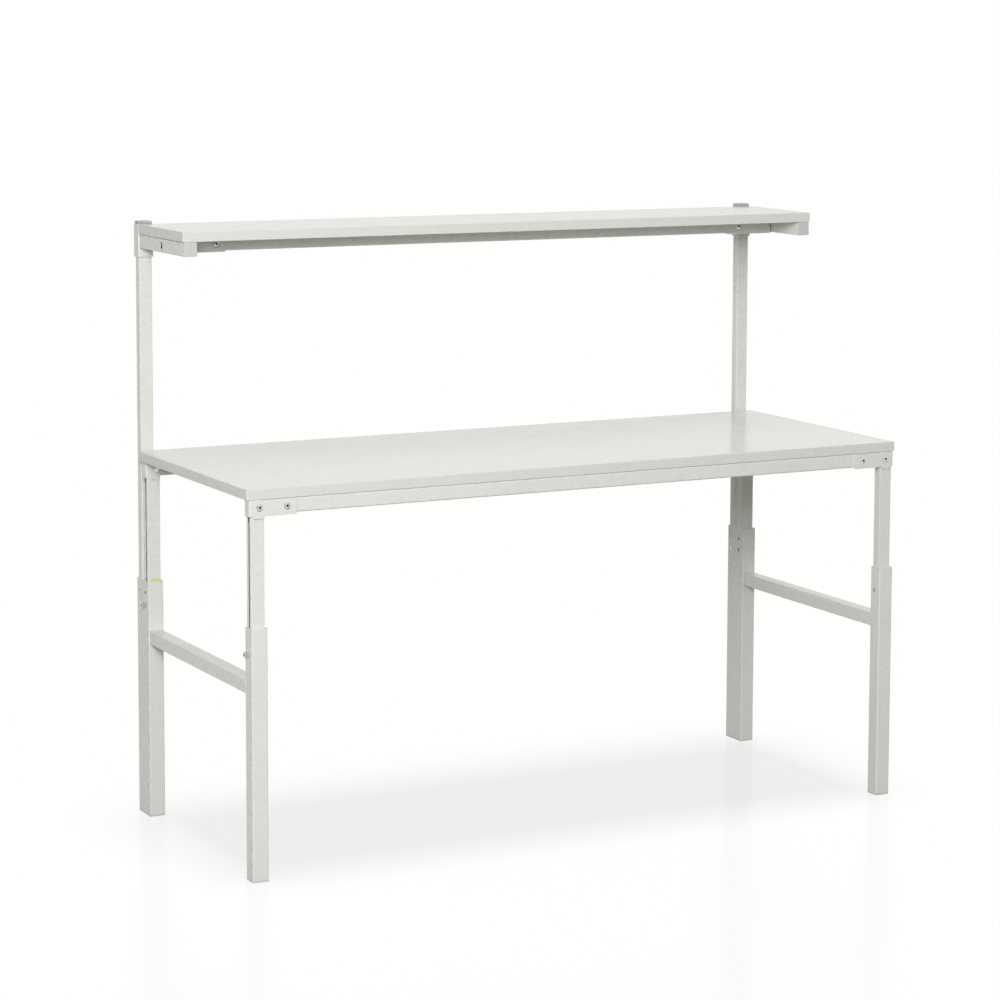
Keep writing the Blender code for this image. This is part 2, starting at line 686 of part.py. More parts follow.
def bracket_plan(side, end):
    """The bracket from above: a long plate, the wall round the leg's side and a short wall."""
    outer = LEG_WIDTH / 2 + SEAT_GAP + BRACKET_SIDE_WALL
    face = LEG_DEPTH / 2 + SEAT_GAP
    front, back = -face - BRACKET_WALL, face + BRACKET_WALL
    plate_end, short_end = BRACKET_LENGTH - outer, LEG_WIDTH / 2
    side_x, radius = BRACKET_SIDE_WALL - outer, BRACKET_CORNER
    quarter = math.pi / 2
    points = [(plate_end, -face), (side_x, -face), (side_x, face), (short_end, face)]
    points += [(short_end, back)]
    points += arc((radius - outer, back - radius), radius, quarter, math.pi, CORNER_STEPS)
    points += arc((radius - outer, front + radius), radius, math.pi, 3 * quarter, CORNER_STEPS)
    points += [(plate_end, front)]
    return [[(-side * u, -ENDS[end] * v) for u, v in points]]


def make_bracket(name, side, end):
    """The pressed bracket that ties a leg to its rail under a corner of the board."""
    plan = extruded(name, bracket_plan(side, end), BRACKET_HEIGHT, "Z")
    location = (side * SIDE_X, LEG_Y[end], FRAME_TOP - BRACKET_HEIGHT / 2)
    bracket = place(name, plan, PAINT, TOP, location)
    wall_y = LEG_DEPTH / 2 + SEAT_GAP + BRACKET_WALL / 2
    inner_edge = SIDE_X - LEG_WIDTH / 2 + TONGUE_WIDTH / 2
    for way in (-1, 1):
        tongue, height = tongue_mesh(name + "_tongue")
        z = FRAME_TOP - BRACKET_HEIGHT - TONGUE_DROP + height / 2
        spot = (side * inner_edge, LEG_Y[end] + way * wall_y, z)
        modify(bracket, "UNION", helper(tongue.name, tongue, spot))
    diameter = BOLT_DIAMETER + 2 * BORE_PLAY
    through = LEG_DEPTH + 2 * (BRACKET_WALL + CUT_OVERRUN)
    for x in (LEG_BOLT_X, RAIL_BOLT_X):
        bore(bracket, diameter, (side * x, LEG_Y[end], BOLT_Z), through, "+Y")
    return bracket


def make_bracket_bolts(leg_bolt_name, rail_bolt_name, side, end):
    """The bolt through the leg and the bolt into the rail, heads on the bench's outside."""
    turn = HEAD_TURNS["+Y" if end == "rear" else "-Y"]
    face = LEG_DEPTH / 2 + 2 * SEAT_GAP + BRACKET_WALL
    y = LEG_Y[end] + ENDS[end] * face
    long_bolt = through_bolt(leg_bolt_name, 2 * face)
    place(leg_bolt_name, long_bolt, ZINC, TOP, (side * LEG_BOLT_X, y, BOLT_Z), turn)
    short_bolt = button_bolt(rail_bolt_name, BOLT_SHORT_SHANK)
    place(rail_bolt_name, short_bolt, ZINC, TOP, (side * RAIL_BOLT_X, y, BOLT_Z), turn)


# Upper shelf


def make_shelf_board(name):
    mesh = block(name, (SHELF_WIDTH, SHELF_DEPTH, SHELF_THICKNESS), BOARD_ROUNDING)
    location = (0, (SHELF_FRONT + SHELF_BACK) / 2, SHELF_HEIGHT - SHELF_THICKNESS / 2)
    return place(name, mesh, LAMINATE, SHELF, location)


def keyhole_loop():
    """A round hole with a narrower slot above it, as the two arcs of its outline."""
    radius, slot = KEYHOLE_DIAMETER / 2, KEYHOLE_SLOT / 2
    foot = radius - KEYHOLE_LENGTH / 2
    head = KEYHOLE_LENGTH / 2 - slot
    opening = math.asin(slot / radius)
    start, end = math.pi / 2 - opening, math.pi / 2 + opening
    points = arc((0, foot), radius, end, start + 2 * math.pi, HOLE_STEPS)
    points += arc((0, head), slot, 0, math.pi, CORNER_STEPS * 2)
    return [points]


def make_support(name, side):
    """A collar round the post with the arm that is welded to its front."""
    loops = [
        rounded_loop(COLLAR_WIDTH, COLLAR_DEPTH, COLLAR_CORNER),
        rounded_loop(
            COLLAR_WIDTH - 2 * COLLAR_SIDE_WALL,
            COLLAR_DEPTH - 2 * COLLAR_FRONT_WALL,
            COLLAR_SIDE_WALL / 2,
        ),
    ]
    mesh = extruded(name, loops, COLLAR_HEIGHT, "Z")
    x, z = side * SIDE_X, SHELF_HEIGHT - COLLAR_HEIGHT / 2
    support = place(name, mesh, PAINT, SHELF, (x, POST_Y, z))
    arm_back = COLLAR_FRONT + COLLAR_FRONT_WALL / 2
    arm_loops = tube_loops(ARM_WIDTH, ARM_HEIGHT, ARM_WALL, ARM_CORNER)
    arm = extruded(name + "_arm", arm_loops, arm_back - ARM_FRONT, "Y")
    arm_spot = (x, (arm_back + ARM_FRONT) / 2, ARM_Z)
    modify(support, "UNION", helper(arm.name, arm, arm_spot))
    keyhole = extruded(name + "_keyhole", keyhole_loop(), ARM_WIDTH / 2, "X")
    keyhole_spot = (side * (SIDE_X + ARM_WIDTH / 2), SHELF_FRONT + KEYHOLE_SETBACK, ARM_Z)
    modify(support, "DIFFERENCE", helper(keyhole.name, keyhole, keyhole_spot))
    screw_bore = COLLAR_SCREW_DIAMETER + 2 * BORE_PLAY
    screw_spot = (side * (SIDE_X + COLLAR_WIDTH / 2), POST_Y, SHELF_HEIGHT - COLLAR_SCREW_DROP)
    bore(support, screw_bore, screw_spot, POST_WIDTH / 2, "+X")
    return support


def make_collar_screw(name, side):
    """The set screw in the collar's outer side, its point against the post."""
    outer_x = SIDE_X + COLLAR_WIDTH / 2
    length = COLLAR_SIDE_WALL + COLLAR_PLAY - SEAT_GAP
    turn = HEAD_TURNS["+X" if side > 0 else "-X"]
    spot = (side * outer_x, POST_Y, SHELF_HEIGHT - COLLAR_SCREW_DROP)
    return place(name, collar_screw(name, length), ZINC, SHELF, spot, turn)


def make_arm_cap(name, side):
    """The plug in the arm's front end, flush with the tube and the board's edge."""
    flange_loop = [rounded_loop(ARM_WIDTH, ARM_HEIGHT, ARM_CORNER)]
    flange = extruded(name, flange_loop, ARM_CAP_THICKNESS, "Y")
    inside = 2 * (ARM_WALL + CAP_PLAY)
    insert_loop = [rounded_loop(ARM_WIDTH - inside, ARM_HEIGHT - inside, ARM_WALL / 2)]
    length = ARM_CAP_INSERT + ARM_CAP_THICKNESS / 2
    insert = extruded(name + "_insert", insert_loop, length, "Y")
    mesh = combined(name, flange, [("UNION", insert, (0, length / 2, 0))])
    y = ARM_FRONT - SEAT_GAP - ARM_CAP_THICKNESS / 2
    return place(name, mesh, GREY_PLASTIC, SHELF, (side * SIDE_X, y, ARM_Z))


def make_shelf_rail(name):
    """The tube under the shelf board, between the two saddles."""
    reach = ARM_INNER_X - SADDLE_WALL - 2 * SEAT_GAP
    loops = tube_loops(SHELF_RAIL_DEPTH, SHELF_RAIL_HEIGHT, SHELF_RAIL_WALL, RAIL_CORNER)
    mesh = extruded(name, loops, 2 * reach, "X")
    rail = place(name, mesh, PAINT, SHELF, (0, SHELF_RAIL_Y, SHELF_RAIL_Z))
    face_y = SHELF_RAIL_Y - SHELF_RAIL_DEPTH / 2
    for side in SIDES.values():
        spot = (side * (ARM_INNER_X - SADDLE_BOLT_REACH), face_y, SHELF_RAIL_Z)
        bore(rail, BOLT_DIAMETER + 2 * BORE_PLAY, spot, SHELF_RAIL_DEPTH, "+Y")
    return rail


def make_saddle(name, side):
    """The channel that holds the shelf rail's end, closed by a wall against the arm."""
    half = SHELF_RAIL_DEPTH / 2 + SEAT_GAP
    height = SHELF_RAIL_HEIGHT + SADDLE_WALL + SEAT_GAP
    outer, top, floor = half + SADDLE_WALL, height / 2, SADDLE_WALL - height / 2
    loop = [(-outer, top), (-outer, -top), (outer, -top), (outer, top)]
    loop += [(half, top), (half, floor), (-half, floor), (-half, top)]
    channel = extruded(name, [loop], SADDLE_LENGTH, "X")
    end_wall = block(name + "_end", (SADDLE_WALL, 2 * outer, height))
    wall_x = side * (SADDLE_LENGTH - SADDLE_WALL) / 2
    mesh = combined(name, channel, [("UNION", end_wall, (wall_x, 0, 0))])
    x = side * (ARM_INNER_X - SEAT_GAP - SADDLE_LENGTH / 2)
    saddle = place(name, mesh, PAINT, SHELF, (x, SHELF_RAIL_Y, ARM_TOP - height / 2))
    spot = (side * (ARM_INNER_X - SADDLE_BOLT_REACH), SHELF_RAIL_Y - outer, SHELF_RAIL_Z)
    bore(saddle, BOLT_DIAMETER + 2 * BORE_PLAY, spot, SHELF_RAIL_DEPTH, "+Y")
    return saddle


def make_saddle_bolt(name, side):
    """The bolt through the saddle's front wall into the shelf rail."""
    y = SHELF_RAIL_Y - SHELF_RAIL_DEPTH / 2 - 2 * SEAT_GAP - SADDLE_WALL
    spot = (side * (ARM_INNER_X - SADDLE_BOLT_REACH), y, SHELF_RAIL_Z)
    bolt = button_bolt(name, BOLT_SHORT_SHANK)
    return place(name, bolt, ZINC, SHELF, spot, HEAD_TURNS["-Y"])


# Putting the bench together


def build_side_frames():
    for hand, side in SIDES.items():
        make_crossbeam(f"crossbeam_{hand}", side)
        make_post(f"post_{hand}", side)
        make_post_screw(f"post_screw_{hand}", side)
        make_post_cap(f"post_cap_{hand}", side)
        for end in ENDS:
            tube = "lower_tube" if end == "front" else "lower_sleeve"
            make_lower_tube(f"{tube}_{end}_{hand}", side, end)
            make_foot(f"foot_{end}_{hand}", side, end)
            make_clamp(f"clamp_screw_{end}_{hand}", f"clamp_nut_{end}_{hand}", side, end)
            make_guide(f"leg_guide_{end}_{hand}", side, end)


def build_top():
    make_worktop("worktop")
    for end in ENDS:
        make_rail(f"rail_{end}", end)
        for hand, side in SIDES.items():
            make_leg(f"upper_leg_{end}_{hand}", side, end)
            make_bracket(f"corner_bracket_{end}_{hand}", side, end)
            bolts = (f"leg_bolt_{end}_{hand}", f"rail_bolt_{end}_{hand}")
            make_bracket_bolts(*bolts, side, end)


def build_shelf():
    make_shelf_board("shelf_board")
    make_shelf_rail("shelf_rail")
    for hand, side in SIDES.items():
        make_support(f"shelf_support_{hand}", side)
        make_collar_screw(f"collar_screw_{hand}", side)
        make_arm_cap(f"arm_cap_{hand}", side)
        make_saddle(f"rail_saddle_{hand}", side)
        make_saddle_bolt(f"saddle_bolt_{hand}", side)


clear_scene()
PIECES = new_collection("packing_bench")
HELPERS = new_collection("cutters")
FRAMES = make_group("side_frames")
TOP = make_group("lifting_top")
SHELF = make_group("sliding_shelf")
build_side_frames()
build_top()
build_shelf()
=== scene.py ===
import math

import bmesh
import bpy
import numpy as np
from mathutils import Matrix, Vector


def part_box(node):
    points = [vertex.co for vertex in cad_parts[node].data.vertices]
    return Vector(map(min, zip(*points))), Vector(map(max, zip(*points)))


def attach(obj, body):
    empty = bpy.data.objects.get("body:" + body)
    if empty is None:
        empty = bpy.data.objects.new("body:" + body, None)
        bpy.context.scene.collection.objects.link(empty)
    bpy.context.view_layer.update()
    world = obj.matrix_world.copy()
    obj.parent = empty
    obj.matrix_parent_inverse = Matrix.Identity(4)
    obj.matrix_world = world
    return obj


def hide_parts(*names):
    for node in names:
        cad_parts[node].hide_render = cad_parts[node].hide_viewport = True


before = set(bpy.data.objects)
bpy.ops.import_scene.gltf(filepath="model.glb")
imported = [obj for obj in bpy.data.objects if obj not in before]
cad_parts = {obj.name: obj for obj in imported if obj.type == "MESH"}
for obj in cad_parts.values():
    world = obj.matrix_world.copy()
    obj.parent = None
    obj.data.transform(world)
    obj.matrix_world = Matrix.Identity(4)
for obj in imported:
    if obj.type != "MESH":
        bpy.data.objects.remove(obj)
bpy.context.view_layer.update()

# Lower tubes and rear sleeves: welded box section of cold-rolled steel, sawn to length,
# drilled for the clamp screws and powder coated a warm light grey in one go with the beams.
# The front pair takes one leg each, the rear pair a leg and a post.

SIDES = {"left": -1, "right": 1}
ENDS = {"front": -1, "rear": 1}
AXES = {"X": (1, 2, 0), "Y": (0, 2, 1), "Z": (0, 1, 2)}
CORNER_STEPS = 8
HOLE_STEPS = 6
SHARP_ANGLE = 30
MERGE_GAP = 1e-6
SAWN_EDGE = 0.0003
LEAST_TUBE_ROUND = 0.0008
RAMP_ENDS = (0.3, 0.7)
TUBE_WALL = 0.002
TUBE_CORNER = 0.003
HALF_TUBE = 0.020
CLAMP_BORE = 0.0086
CLAMP_LEVEL = 0.538
LOCATING_HOLE = 0.0078
SPARE_HOLE = 0.0048
LOCATING_LEVEL = 0.570
POST_SCREW_HOLE = 0.0066
CUT_BOTH_WALLS = 0.06
CUT_ONE_WALL = 0.02


def linear(code):
    """An sRGB hex code as linear RGBA: each channel c is ((c + 0.055) / 1.055) ** 2.4."""
    srgb = np.array([int(code[i : i + 2], 16) for i in (1, 3, 5)]) / 255
    rgb = np.where(srgb <= 0.04045, srgb / 12.92, ((srgb + 0.055) / 1.055) ** 2.4)
    return (*rgb.tolist(), 1.0)


def add_node(tree, kind, settings=None, links=None):
    """One node with its settings and its incoming links. Both are named or numbered sockets."""
    node = tree.nodes.new(kind)
    for key, value in (settings or {}).items():
        if isinstance(key, int) or key in node.inputs:
            node.inputs[key].default_value = value
        else:
            setattr(node, key, value)
    for key, source in (links or {}).items():
        tree.links.new(source, node.inputs[key])
    return node


def new_finish(name, code, roughness, metallic=0.0):
    """A material with its plain values set on the shader, and its object coordinates."""
    material = bpy.data.materials.new(name)
    material.use_nodes = True
    tree = material.node_tree
    shader = tree.nodes["Principled BSDF"]
    shader.inputs["Base Color"].default_value = linear(code)
    shader.inputs["Roughness"].default_value = roughness
    shader.inputs["Metallic"].default_value = metallic
    place = add_node(tree, "ShaderNodeTexCoord").outputs["Object"]
    return material, tree, shader, place


def mottled(tree, place, low, high, size):
    """Noise whose patches are about size metres wide, as a colour between two hex codes."""
    noise = add_node(
        tree, "ShaderNodeTexNoise", {"Scale": 1 / size, "Detail": 2.0}, {"Vector": place}
    )
    ramp = add_node(tree, "ShaderNodeValToRGB", None, {"Fac": noise.outputs["Fac"]})
    for end, position, code in zip(ramp.color_ramp.elements, RAMP_ENDS, (low, high)):
        end.position = position
        end.color = linear(code)
    return ramp.outputs["Color"]


def dimpled(tree, shader, place, size, depth):
    """Bump from noise whose dimples are size metres wide and depth metres deep."""
    noise = add_node(
        tree, "ShaderNodeTexNoise", {"Scale": 1 / size, "Detail": 1.0}, {"Vector": place}
    )
    bump = add_node(
        tree,
        "ShaderNodeBump",
        {"Strength": 1.0, "Distance": depth},
        {"Height": noise.outputs["Fac"]},
    )
    tree.links.new(bump.outputs["Normal"], shader.inputs["Normal"])


def varied_roughness(tree, shader, place, size, low, high):
    """Roughness that drifts between two values in patches about size metres wide."""
    noise = add_node(
        tree, "ShaderNodeTexNoise", {"Scale": 1 / size, "Detail": 3.0}, {"Vector": place}
    )
    spread = add_node(
        tree,
        "ShaderNodeMapRange",
        {"From Min": 0.35, "From Max": 0.65, "To Min": low, "To Max": high},
        {"Value": noise.outputs["Fac"]},
    )
    tree.links.new(spread.outputs["Result"], shader.inputs["Roughness"])


def powder_coat(name, low, high):
    """Polyester powder on steel: satin, with the soft 2.5 mm ripple that baking leaves."""
    material, tree, shader, place = new_finish(name, high, roughness=0.28)
    tree.links.new(mottled(tree, place, low, high, size=0.12), shader.inputs["Base Color"])
    varied_roughness(tree, shader, place, size=0.03, low=0.25, high=0.31)
    dimpled(tree, shader, place, size=0.0025, depth=0.000015)
    return material


coat = powder_coat("polyester_powder_coat", "#dedfd9", "#e1e2dc")
# The faces inside the legs' C section take a darker grey coat: painted shade for the inside of
# the slot.
inside_painted_shade_coat = powder_coat("powder_coat_with_painted_shade_inside", "#6f706c", "#7c7d79")
# The walls of drilled holes take a near-black coat: painted shade for the shadow inside a hole.
hole_painted_shade_coat = powder_coat("powder_coat_with_painted_shade_in_holes", "#3a3b38", "#444542")


def box_of(node):
    """The middle and the size of a node's box."""
    low, high = np.array([tuple(corner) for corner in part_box(node)])
    return (low + high) / 2, high - low


def rounded_ring(width, depth, radius, steps=CORNER_STEPS):
    """A rectangle with round corners: each corner's centre plus radius times (cos, sin) of
    an angle that runs over its own quarter turn. The result is (4 * (steps + 1), 2)."""
    angle = np.arange(4)[:, None] * np.pi / 2 + np.linspace(0, np.pi / 2, steps + 1)
    way = np.array([[1, 1], [-1, 1], [-1, -1], [1, -1]])
    centre = way * np.array([width / 2 - radius, depth / 2 - radius])
    ring = centre[:, None, :] + radius * np.stack([np.cos(angle), np.sin(angle)], axis=-1)
    return ring.reshape(-1, 2)


def lofted(rings, along, axis, centre):
    """Rings of two coordinates, each at its own height along the axis, about a centre."""
    rings = np.asarray(rings, float)
    points = np.empty((*rings.shape[:2], 3))
    first, second, third = AXES[axis]
    points[..., first] = rings[..., 0] + centre[first]
    points[..., second] = rings[..., 1] + centre[second]
    points[..., third] = np.asarray(along, float)[:, None] + centre[third]
    return points


def skin(name, points, closed=False):
    """A mesh over a grid of points (rings, points in a ring, 3): quads join each ring to the
    next, the first and last ring are capped unless the rings run round to the start."""
    rings, count = points.shape[:2]
    index = np.arange(rings * count).reshape(rings, count)
    low = index if closed else index[:-1]
    high = np.roll(index, -1, axis=0) if closed else index[1:]
    quads = np.stack([low, np.roll(low, -1, 1), np.roll(high, -1, 1), high], axis=-1)
    faces = quads.reshape(-1, 4).tolist()
    if not closed:
        faces += [index[0, ::-1].tolist(), index[-1].tolist()]
    mesh = bpy.data.meshes.new(name)
    mesh.from_pydata(points.reshape(-1, 3).tolist(), [], faces)
    return mesh


def tidy(mesh):
    """Merges what lies together and turns the faces outward."""
    bm = bmesh.new()
    bm.from_mesh(mesh)
    bmesh.ops.remove_doubles(bm, verts=bm.verts, dist=MERGE_GAP)
    bmesh.ops.recalc_face_normals(bm, faces=bm.faces)
    bm.to_mesh(mesh)
    bm.free()
    return mesh


def piece_of(name, mesh, finish, body, replaced=(), sharp=SHARP_ANGLE):
    """A piece at the origin, shaded smooth up to the sharp angle, that rides on a body."""
    piece = bpy.data.objects.new(name, tidy(mesh))
    bpy.context.scene.collection.objects.link(piece)
    mesh.materials.append(finish)
    mesh.shade_smooth()
    mesh.set_sharp_from_angle(angle=math.radians(sharp))
    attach(piece, body)
    if replaced:
        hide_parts(*replaced)
    return piece


def even_shading(piece):
    """Large faces keep their own normals, and only the round corners turn the light."""
    even = piece.modifiers.new("Even", "WEIGHTED_NORMAL")
    even.keep_sharp = True
    return piece


def tube_between(name, low, high, axis, wall, corner):
    """A tube that fills a box: outer rings up, over the sawn edge, inner rings down again.
    Each ring is the outer one set in by its own share of the wall."""
    low, high = np.array(low), np.array(high)
    centre, size = (low + high) / 2, high - low
    first, second, third = AXES[axis]
    half, trim = size[third] / 2, SAWN_EDGE
    inset = np.array([trim, 0, 0, trim, wall - trim, wall, wall, wall - trim])
    climb = np.array([-half, trim - half, half - trim, half])
    along = np.append(climb, climb[::-1])
    rings = [
        rounded_ring(size[first] - 2 * i, size[second] - 2 * i, max(corner - i, LEAST_TUBE_ROUND))
        for i in inset
    ]
    return skin(name, lofted(rings, along, axis, centre), closed=True)


def cut(piece, cuts):
    """Cuts prisms, each (outline, axis, centre, length), and keeps the cut mesh. The walls
    of a hole take a near-black coat, which is painted shade for the shadow inside the hole."""
    tools = []
    for outline, axis, centre, length in cuts:
        mesh = skin("tool", lofted([outline] * 2, [-length / 2, length / 2], axis, centre))
        mesh.materials.append(hole_painted_shade_coat)
        tools.append(bpy.data.objects.new("tool", tidy(mesh)))
        bpy.context.scene.collection.objects.link(tools[-1])
        hole = piece.modifiers.new("Hole", "BOOLEAN")
        hole.solver = "EXACT"
        hole.material_mode = "TRANSFER"
        hole.object = tools[-1]
    graph = bpy.context.evaluated_depsgraph_get()
    mesh = bpy.data.meshes.new_from_object(piece.evaluated_get(graph))
    piece.modifiers.clear()
    piece.data = mesh
    mesh.set_sharp_from_angle(angle=math.radians(SHARP_ANGLE))
    for tool in tools:
        bpy.data.objects.remove(tool)
    return piece


def round_hole(diameter):
    """A circle as the outline of a hole."""
    return rounded_ring(diameter, diameter, diameter / 2, HOLE_STEPS)


for hand, side in SIDES.items():
    for end in ENDS:
        node = f"lower_tube_{end}_{hand}" if end == "front" else f"lower_sleeve_{end}_{hand}"
        x, leg_y, _ = box_of(f"upper_leg_{end}_{hand}")[0]
        mesh = tube_between(f"{node}_steel", *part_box(node), "Z", TUBE_WALL, TUBE_CORNER)
        tube = piece_of(f"{node}_steel", mesh, coat, "side_frames", [node])
        cuts = [(round_hole(CLAMP_BORE), "X", (x, leg_y, CLAMP_LEVEL), CUT_BOTH_WALLS)]
        if end == "rear":
            post_y = box_of(f"post_{hand}")[0][1]
            inner, outer = x - side * HALF_TUBE, x + side * HALF_TUBE
            cuts += [
                (round_hole(LOCATING_HOLE), "X", (x, leg_y, LOCATING_LEVEL), CUT_BOTH_WALLS),
                (round_hole(POST_SCREW_HOLE), "X", (inner, post_y, CLAMP_LEVEL), CUT_ONE_WALL),
                (round_hole(SPARE_HOLE), "X", (outer, post_y, LOCATING_LEVEL), CUT_ONE_WALL),
            ]
        even_shading(cut(tube, cuts))

# Crossbeams: square tube cut to fit between the front tube and the sleeve, and welded all
# round at both ends before coating, so each joint has a small rippled bead of its own.

BEAM_CORNER = 0.003
BEAD_LEG = 0.0026
BEAD_RIPPLE = 0.0018
BEAD_SWELL = 0.09
BEAD_HOLLOW = 0.86
BEAD_SUNK_IN_TUBE = 0.15
BEAD_SUNK_IN_FACE = 0.05
BEAD_CORNER_STEPS = 14
POINTS_IN_RIPPLE = 6
BEAD_SHARP_ANGLE = 50


def weld_bead(name, width, depth, corner, axis, centre, way):
    """A fillet round a tube's end. Its path is the tube's outline, its profile a flat curve
    from the tube's wall to the face it meets, and its height swells once in each ripple."""
    path = rounded_ring(width, depth, corner, BEAD_CORNER_STEPS)
    path = np.concatenate([path, path[:1]])
    run = np.concatenate([[0], np.cumsum(np.linalg.norm(np.diff(path, axis=0), axis=1))])
    count = int(run[-1] / BEAD_RIPPLE) * POINTS_IN_RIPPLE
    at = np.linspace(0, run[-1], count, endpoint=False)
    spine = np.stack([np.interp(at, run, path[:, i]) for i in (0, 1)], axis=-1)
    ahead, behind = np.roll(spine, -1, 0), np.roll(spine, 1, 0)
    tangent = (ahead - behind) / np.linalg.norm(ahead - behind, axis=1, keepdims=True)
    outward = np.stack([tangent[:, 1], -tangent[:, 0]], axis=-1)
    swell = 1 + BEAD_SWELL * np.cos(2 * np.pi * at / BEAD_RIPPLE)
    turn = np.linspace(0, np.pi / 2, 6)
    reach = BEAD_LEG * np.append(1 - BEAD_HOLLOW * np.sin(turn), -BEAD_SUNK_IN_TUBE)
    rise = BEAD_LEG * np.append(1 - BEAD_HOLLOW * np.cos(turn), -BEAD_SUNK_IN_FACE)
    rings = spine[None] + (reach[:, None] * swell)[..., None] * outward[None]
    along = rise[:, None] * swell
    points = np.empty((len(reach), len(at), 3))
    first, second, third = AXES[axis]
    points[..., first] = rings[..., 0] + centre[first]
    points[..., second] = rings[..., 1] + centre[second]
    points[..., third] = centre[third] + way * along
    return skin(name, points, closed=True)


for hand in SIDES:
    node = f"crossbeam_{hand}"
    mesh = tube_between(f"{node}_steel", *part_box(node), "Y", TUBE_WALL, BEAM_CORNER)
    beam = even_shading(piece_of(f"{node}_steel", mesh, coat, "side_frames", [node]))
    low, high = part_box(node)
    (x, _, z), (width, _, height) = box_of(node)
    for end, way in ENDS.items():
        spot = (x, low.y if way < 0 else high.y, z)
        mesh = weld_bead(f"weld_{end}_{hand}", width, height, BEAM_CORNER, "Y", spot, -way)
        bead = piece_of(
            f"weld_{end}_{hand}", mesh, coat, "side_frames", sharp=BEAD_SHARP_ANGLE
        )

# Feet and guide pads: injection mouldings, the feet of polyamide and the pads of acetal. A
# foot's plug is driven into the tube and only its thin flange shows. A pad fills the room in
# front of a leg, so that the leg slides without play.

FLANGE = 0.003
FLANGE_TRIM = 0.0002
FOOT_ROUND = 0.0008
SHAFT_INSET = 0.0025
TIP_INSET = 0.004
TIP_TAPER = 0.002
PAD_ROUND = 0.0012
PAD_CORNER = 0.0013
LEAST_ROUND = 0.0004


def fine_moulding(name, low, high, roughness):
    """Plastic from a spark-eroded mould: matt, with an even grain of about half a
    millimetre, drawn a little coarser so that it shows."""
    material, tree, shader, place = new_finish(name, high, roughness)
    tree.links.new(mottled(tree, place, low, high, size=0.02), shader.inputs["Base Color"])
    dimpled(tree, shader, place, size=0.0008, depth=0.00002)
    return material


foot_plastic = fine_moulding("grey_polyamide", "#cfd0cc", "#d4d5d1", roughness=0.55)
pad_plastic = fine_moulding("pale_acetal", "#c4c5c2", "#cccdca", roughness=0.35)


def stepped_block(name, centre, axis, stations, corner, width, depth):
    """A solid of rounded rectangles. Each station is (inset, height along the axis), and its
    ring is the outline drawn in by the inset."""
    rings = [
        rounded_ring(width - 2 * inset, depth - 2 * inset, max(corner - inset, LEAST_ROUND))
        for inset, _ in stations
    ]
    return skin(name, lofted(rings, [h for _, h in stations], axis, centre))


def rounded_edge(size, steps=4):
    """(inset, rise) along a quarter circle: size * (1 - sin a), size * (1 - cos a)."""
    turn = np.linspace(0, np.pi / 2, steps + 1)
    return np.stack([size * (1 - np.sin(turn)), size * (1 - np.cos(turn))], axis=-1)


def rounded_ends(low, high, size, steps=4):
    """Stations from low to high along an axis, with a quarter circle at each end."""
    edge = rounded_edge(size, steps)
    return [(i, low + h) for i, h in edge] + [(i, high - h) for i, h in edge[::-1]]


def plug(start, end, size):
    """Stations of a driven plug: its flange with a round edge, then its shaft and its tip."""
    stations = [(i, start + h) for i, h in rounded_edge(size)]
    stations += [(0, start + FLANGE - FLANGE_TRIM), (FLANGE_TRIM, start + FLANGE)]
    stations += [(SHAFT_INSET, start + FLANGE), (SHAFT_INSET, end - TIP_TAPER)]
    return [*stations, (TIP_INSET, end)]


for hand in SIDES:
    for end in ENDS:
        node = f"foot_{end}_{hand}"
        (x, y, _), (width, depth, _) = box_of(node)
        name = f"{node}_moulding"
        stations = plug(0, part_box(node)[1].z, FOOT_ROUND)
        mesh = stepped_block(name, (x, y, 0), "Z", stations, TUBE_CORNER, width, depth)
        foot = even_shading(piece_of(name, mesh, foot_plastic, "side_frames", [node]))
        node = f"leg_guide_{end}_{hand}"
        low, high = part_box(node)
        (x, y, _), (width, depth, _) = box_of(node)
        name = f"{node}_moulding"
        stations = rounded_ends(low.z, high.z, PAD_ROUND)
        mesh = stepped_block(name, (x, y, 0), "Z", stations, PAD_CORNER, width, depth)
        pad = even_shading(piece_of(name, mesh, pad_plastic, "side_frames", [node]))

# Upper legs: cold-rolled C section with its slot on the outer side, powder coated like the
# frames. A black stop plug closes the slot just under the bracket. The rear left leg has a
# plain yellow band of film that shows how far the leg may be drawn out.

LEG_WALL = 0.002
LEG_CORNER = 0.0016
LEG_INNER_CORNER = 0.0009
LEG_SLOT = 0.0095
LIP_ROUND = 0.0005
STOP_TOP = 0.8575
STOP_HEIGHT = 0.009
STOP_SETBACK = 0.0041
STOP_HALF = 0.004
STOP_ROUND = 0.001
STOP_CORNER = 0.002
STOP_PLAY = 0.0006
BAND_TOP = 0.6065
BAND_DROP = 0.030
BAND_SETBACK = 0.0085
BAND_POINTS = 12
BAND_FILM = 0.00012


def slotted_outline(side, width, depth):
    """The C section: the outer outline from one lip round to the other, then the inner one
    back. The slot is cut from the side that faces out. The second value says, for each of
    the outline's sides, whether it lies inside the section."""
    outer = rounded_ring(width, depth, LEG_CORNER)
    inner = rounded_ring(width - 2 * LEG_WALL, depth - 2 * LEG_WALL, LEG_INNER_CORNER)
    half, lip = width / 2, LEG_SLOT / 2
    turn = np.linspace(0, np.pi / 2, 4)
    curl = LIP_ROUND * (1 - np.stack([np.sin(turn), np.cos(turn)], axis=-1))
    above = np.stack([half - curl[:, 1], lip + curl[:, 0]], axis=-1)
    start = np.concatenate([[[half - LEG_WALL, lip]], above[::-1]])
    finish = start[::-1] * [1, -1]
    outline = np.concatenate([start, outer, finish, inner[::-1]])
    inside = np.arange(len(outline)) >= len(outline) - len(inner) - 1
    return outline * [side, 1], inside


